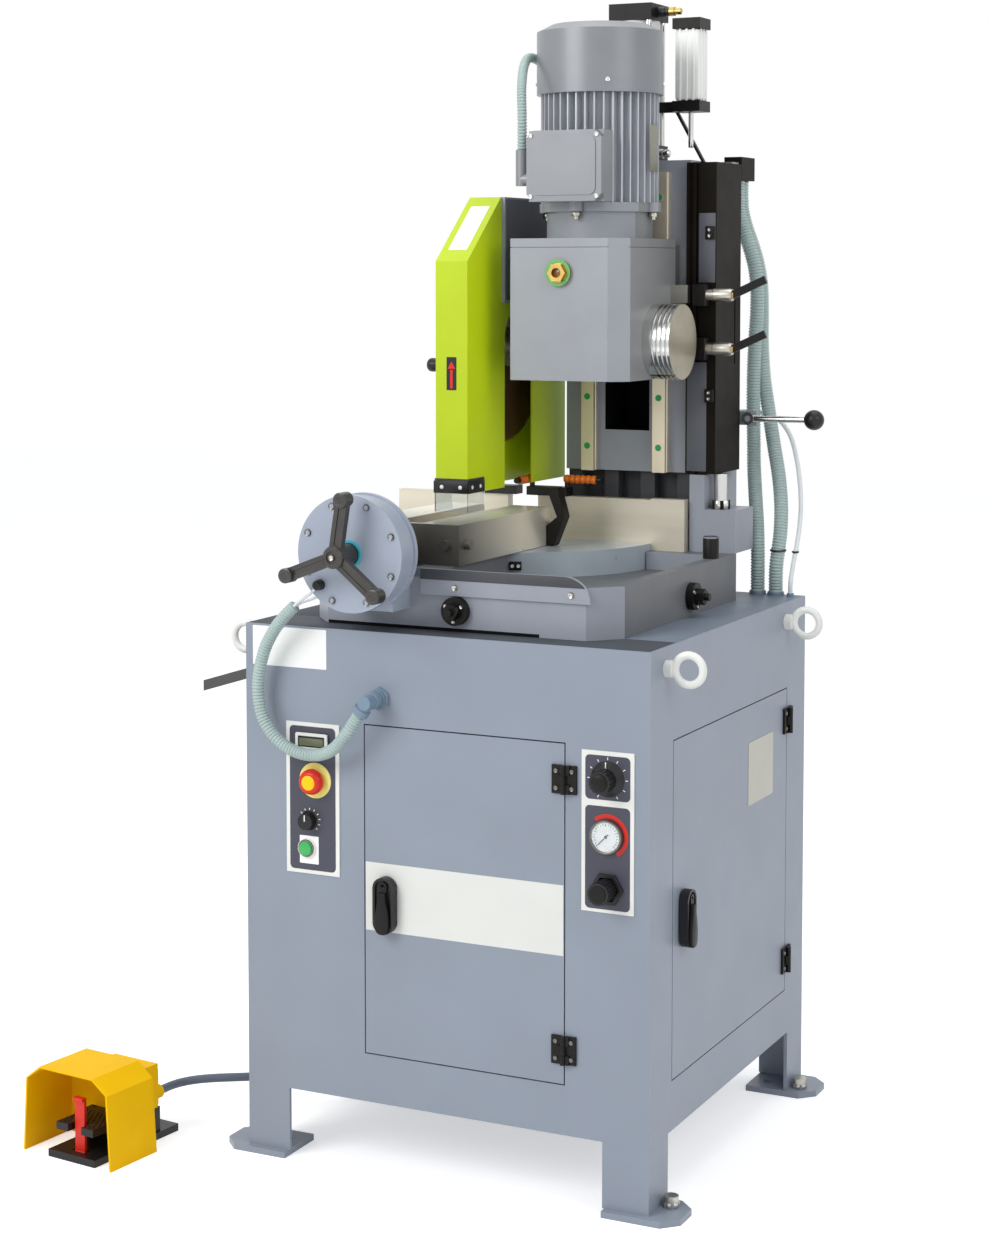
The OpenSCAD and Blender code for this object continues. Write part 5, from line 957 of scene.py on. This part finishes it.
single("sight_ring", "ring_green", add_ring, (SIGHT_X, -9, SIGHT_Z), FRONT, 16.5, 22, 0.8, 40,
       body="head")
single("sight_window", "sight_amber", add_turned, [(0, 1.2), (6, 0.8), (7.8, 0)],
       (SIGHT_X, -9.2, SIGHT_Z), FRONT, 24, body="head")
single("motor_plate", "plate_grey", add_card, (152.4, 124, 1604), RIGHT, 34, 76, 1.5, 0.8, body="head")

# Cylinders on the column: barrels, tie rods, rod and fittings
FEED_AT = Vector((54, 294, 0))
TIE_SIDE = 31
FITTING_AT = FEED_AT + Vector((39, 0, 1604))
TOP_FITTING_AT = FEED_AT + Vector((39, -8, 1843))
TOP_FITTING = [(0, 0), (9, 0), (9, 14), (7.4, 15), (7.4, 24)]
TOP_NIPPLE = [(7, 22), (7.8, 22), (7.8, 31), (5.6, 32), (5.6, 42), (4.4, 43), (0, 43)]
single("feed_barrel", "aluminium", add_ring, FEED_AT + 1618.2 * Z, UP, 36.52, 37.2, 210.6, 48, 0.1)
shape = bmesh.new()
for x in (-TIE_SIDE, TIE_SIDE):
    for y in (-TIE_SIDE, TIE_SIDE):
        add_disc(shape, FEED_AT + Vector((x, y, 1618)), UP, 5, 211, 16)
piece("tie_rods", shape, "chrome")
OIL_AT = Vector((151, 294, 0))
OIL_PLACE = Matrix.Translation(OIL_AT)
OIL_LOW, OIL_HIGH, OIL_HALF = 1691, 1812, 22.5
OIL_RIB_IN, OIL_RIB_OUT, OIL_RIB_HALF, OIL_RIB_BEVEL = 21, 23.4, 2.4, 0.8
shape = bmesh.new()
add_block(shape, (-OIL_HALF, -OIL_HALF, OIL_LOW), (OIL_HALF, OIL_HALF, OIL_HIGH), 6, OIL_PLACE)
for rib in (-12, 0, 12):
    low, high = rib - OIL_RIB_HALF, rib + OIL_RIB_HALF
    add_block(shape, (low, -OIL_RIB_OUT, OIL_LOW), (high, -OIL_RIB_IN, OIL_HIGH), OIL_RIB_BEVEL, OIL_PLACE)
    add_block(shape, (OIL_RIB_IN, low, OIL_LOW), (OIL_RIB_OUT, high, OIL_HIGH), OIL_RIB_BEVEL, OIL_PLACE)
piece("oil_barrel", shape, "aluminium")
single("oil_rod", "chrome", add_turned, [(0, 0), (3.2, 0), (4.4, 2), (4.4, 60)], OIL_AT + 1612.6 * Z, UP,
       20)
shape = bmesh.new()
add_screw(shape, FITTING_AT, RIGHT, 9, 8)
add_turned(shape, [(0, 8), (7, 8), (7, 18), (5, 20), (0, 20)], FITTING_AT, RIGHT, 20)
piece("feed_fitting", shape, "chrome")
single("top_fitting", "black_plastic", add_turned, TOP_FITTING, TOP_FITTING_AT, RIGHT, 24)
single("top_nipple", "brass", add_turned, TOP_NIPPLE, TOP_FITTING_AT, RIGHT, 24)
STRUT_HIGH, STRUT_LOW = Vector((119, 309, 1676)), Vector((172, 309, 1583))
STRUT_L = (STRUT_HIGH - STRUT_LOW).length
single("oil_strut", "black_metal", add_block, (-5, -2, 0), (5, 2, STRUT_L), 0.5,
       placed(STRUT_LOW, STRUT_HIGH - STRUT_LOW))

# Plates in front of the cover, with their brackets; the plates are real, and their dark grey is painted
# shade
COVER_FRONT = 232
PLATE_T = 0.8
BRACKET_FRONT = COVER_FRONT - 6
BRACKET_ROWS = (1467, 1194)
shape = bmesh.new()
for left, low, right, high in ((191, 1384, 220.5, 1500), (171, 1066, 206, 1250)):
    add_block(shape, (left, COVER_FRONT - PLATE_T, low), (right, COVER_FRONT, high), 0.2)
piece("cover_plates", shape, "side_grey")
brackets, screws = bmesh.new(), bmesh.new()
for z in BRACKET_ROWS:
    add_block(brackets, (204, BRACKET_FRONT, z - 11), (220, COVER_FRONT - PLATE_T, z + 11), 0.8)
    for step in (-5, 5):
        add_screw(screws, (212, BRACKET_FRONT, z + step), FRONT, 3, 1.4)
piece("cover_brackets", brackets, "black_metal")
piece("bracket_screws", screws, "steel")

# Ties round a rear hose and the air tube
shape = bmesh.new()
add_ring(shape, (298.3, 337, 925), UP, 12.6, 14.2, 3, 28)
add_ring(shape, (324.5, 351, 922), UP, 4.8, 6.2, 3, 20)
piece("lower_tie", shape, "black_plastic")

# Column: rail caps, stop rod, lever hubs, ball
RAIL_LOW, RAIL_L, RAIL_CAPS = 1061, 509, 6
shape = bmesh.new()
for x in (-12, 120):
    for k in range(RAIL_CAPS):
        add_disc(shape, (x, 229, RAIL_LOW + RAIL_L * (k + 0.5) / RAIL_CAPS), FRONT, 5.6, 0.1, 20, 0.02)
piece("rail_caps", shape, "green_cap")
STOP_X, STOP_Y = 224, 254
shape = bmesh.new()
add_hexagon(shape, (STOP_X, STOP_Y, 1002), UP, 17.5, 15.4)
add_disc(shape, (STOP_X, STOP_Y, 1017), UP, 11.4, 44.6)
piece("stop_rod", shape, "chrome")
LEVER_X, LEVER_Y = 211.3, 220
HUB_L = 45
LEVER_HUB = [(0, -0.1), (10.4, -0.1), (10.4, 12), (11.4, 13), (11.4, 40), (9.6, HUB_L), (0, HUB_L)]
for body, z in (("upper_lever", 1363), ("lower_lever", 1273)):
    single(body + "_hub", "steel", add_turned, LEVER_HUB, (LEVER_X, LEVER_Y, z), RIGHT, 28, body=body)
    single(body + "_tip", "brass", add_turned, [(0, 2.4), (5, 2), (6, 0)], (LEVER_X + HUB_L, LEVER_Y, z),
           RIGHT, 20, body=body)
BALL_R = 17.4
BALL_ARCS = 16
BALL = [(BALL_R * math.sin(math.pi * k / BALL_ARCS), -BALL_R * math.cos(math.pi * k / BALL_ARCS))
        for k in range(BALL_ARCS + 1)]
single("lever_ball", "black_plastic", add_turned, BALL, (354, 356, 1150), RIGHT, 32, body="ball_lever",
       smooth=60)

# Foot switch: chequered tread
PEDAL = Matrix.Translation((-567, -518, 0)) @ Matrix.Rotation(math.radians(-7), 4, "Z")
STUDS, STUD_X, STUD_Y, STUD_SHIFT = 9, 8.5, 7.6, 4.2
STUD_LOW_R, STUD_HIGH_R, STUD_H = 3.4, 1.4, 1.6
STUD_SIDE_SHARE = 0.6
TREAD_LEFT, TREAD_RIGHT, TREAD_FRONT, TREAD_TOP = -34, 37, 12, 56
SLOT_HALF, SLOT_BACK = 18, 34
shape = bmesh.new()
for row in range(STUDS):
    for column in range(STUDS):
        x = TREAD_LEFT + STUD_X * column + (STUD_SHIFT if row % 2 else 0)
        y = TREAD_FRONT + STUD_Y * row
        if x > TREAD_RIGHT or (abs(x) < SLOT_HALF and y < SLOT_BACK):
            continue
        part = bmesh.new()
        add_cone(part, 4, STUD_LOW_R, STUD_HIGH_R, STUD_H)
        narrow = Matrix.Scale(STUD_SIDE_SHARE, 4, X)
        merge(shape, part, PEDAL @ Matrix.Translation((x, y, TREAD_TOP)) @ narrow)
piece("tread_pattern", shape, "black_plastic", "treadle", smooth=20)


# Studio: white floor that keeps the shadow, white surround and soft lamps

WHITE = (1.0, 1.0, 1.0, 1.0)
FLOOR_GLOW_SHARE = 0.5
FLOOR_HALF = 12
WORLD_STRENGTH = 0.58


def seen_directly(tree):
    """A node that says one for rays of the camera, of reflections and of clear pieces, else zero."""
    light_path = tree.nodes.new("ShaderNodeLightPath")
    through = tree.nodes.new("ShaderNodeMath")
    through.operation = "MAXIMUM"
    link(light_path, "Is Glossy Ray", through, 0)
    link(light_path, "Is Transmission Ray", through, 1)
    shows = tree.nodes.new("ShaderNodeMath")
    shows.operation = "MAXIMUM"
    link(light_path, "Is Camera Ray", shows, 0)
    link(through, "Value", shows, 1)
    return shows


tree = finish("floor_white", (243, 243, 243), 0.8, vary=0.004, depth=0.0, specular=0.0).node_tree
glow = add_node(tree, "ShaderNodeMath", {1: FLOOR_GLOW_SHARE})
glow.operation = "MULTIPLY"
link(seen_directly(tree), "Value", glow, 0)
shader = tree.nodes["Principled BSDF"]
shader.inputs["Emission Color"].default_value = WHITE
link(glow, "Value", shader, "Emission Strength")
shape = bmesh.new()
bmesh.ops.create_grid(shape, x_segments=1, y_segments=1, size=FLOOR_HALF)
floor = mesh_object("floor", shape, "floor_white")

world = bpy.data.worlds.new("studio")
world.use_nodes = True
scene.world = world
tree = world.node_tree
lit = tree.nodes["Background"]
lit.inputs["Color"].default_value = (0.93, 0.96, 1.0, 1.0)
lit.inputs["Strength"].default_value = WORLD_STRENGTH
seen = add_node(tree, "ShaderNodeBackground", {"Color": WHITE, "Strength": 1.0})
choice = tree.nodes.new("ShaderNodeMixShader")
link(seen_directly(tree), "Value", choice, "Fac")
link(lit, "Background", choice, 1)
link(seen, "Background", choice, 2)
link(choice, "Shader", tree.nodes["World Output"], "Surface")


def soft_lamp(name, place, power, size):
    """Square lamp that looks at the machine's middle."""
    data = bpy.data.lights.new(name, "AREA")
    data.energy = power
    data.size = size
    lamp = bpy.data.objects.new(name, data)
    lamp.location = place
    lamp.rotation_euler = (MIDDLE - Vector(place)).to_track_quat("-Z", "Y").to_euler()
    scene.collection.objects.link(lamp)


MIDDLE = Vector((0.0, 0.0, 0.9))
soft_lamp("key_lamp", (-1.6, -3.4, 3.0), 88, 2.2)
soft_lamp("side_lamp", (3.2, -1.2, 2.9), 26, 2.0)
soft_lamp("top_lamp", (0.0, 0.4, 4.2), 40, 3.0)

scene.view_settings.view_transform = "Standard"
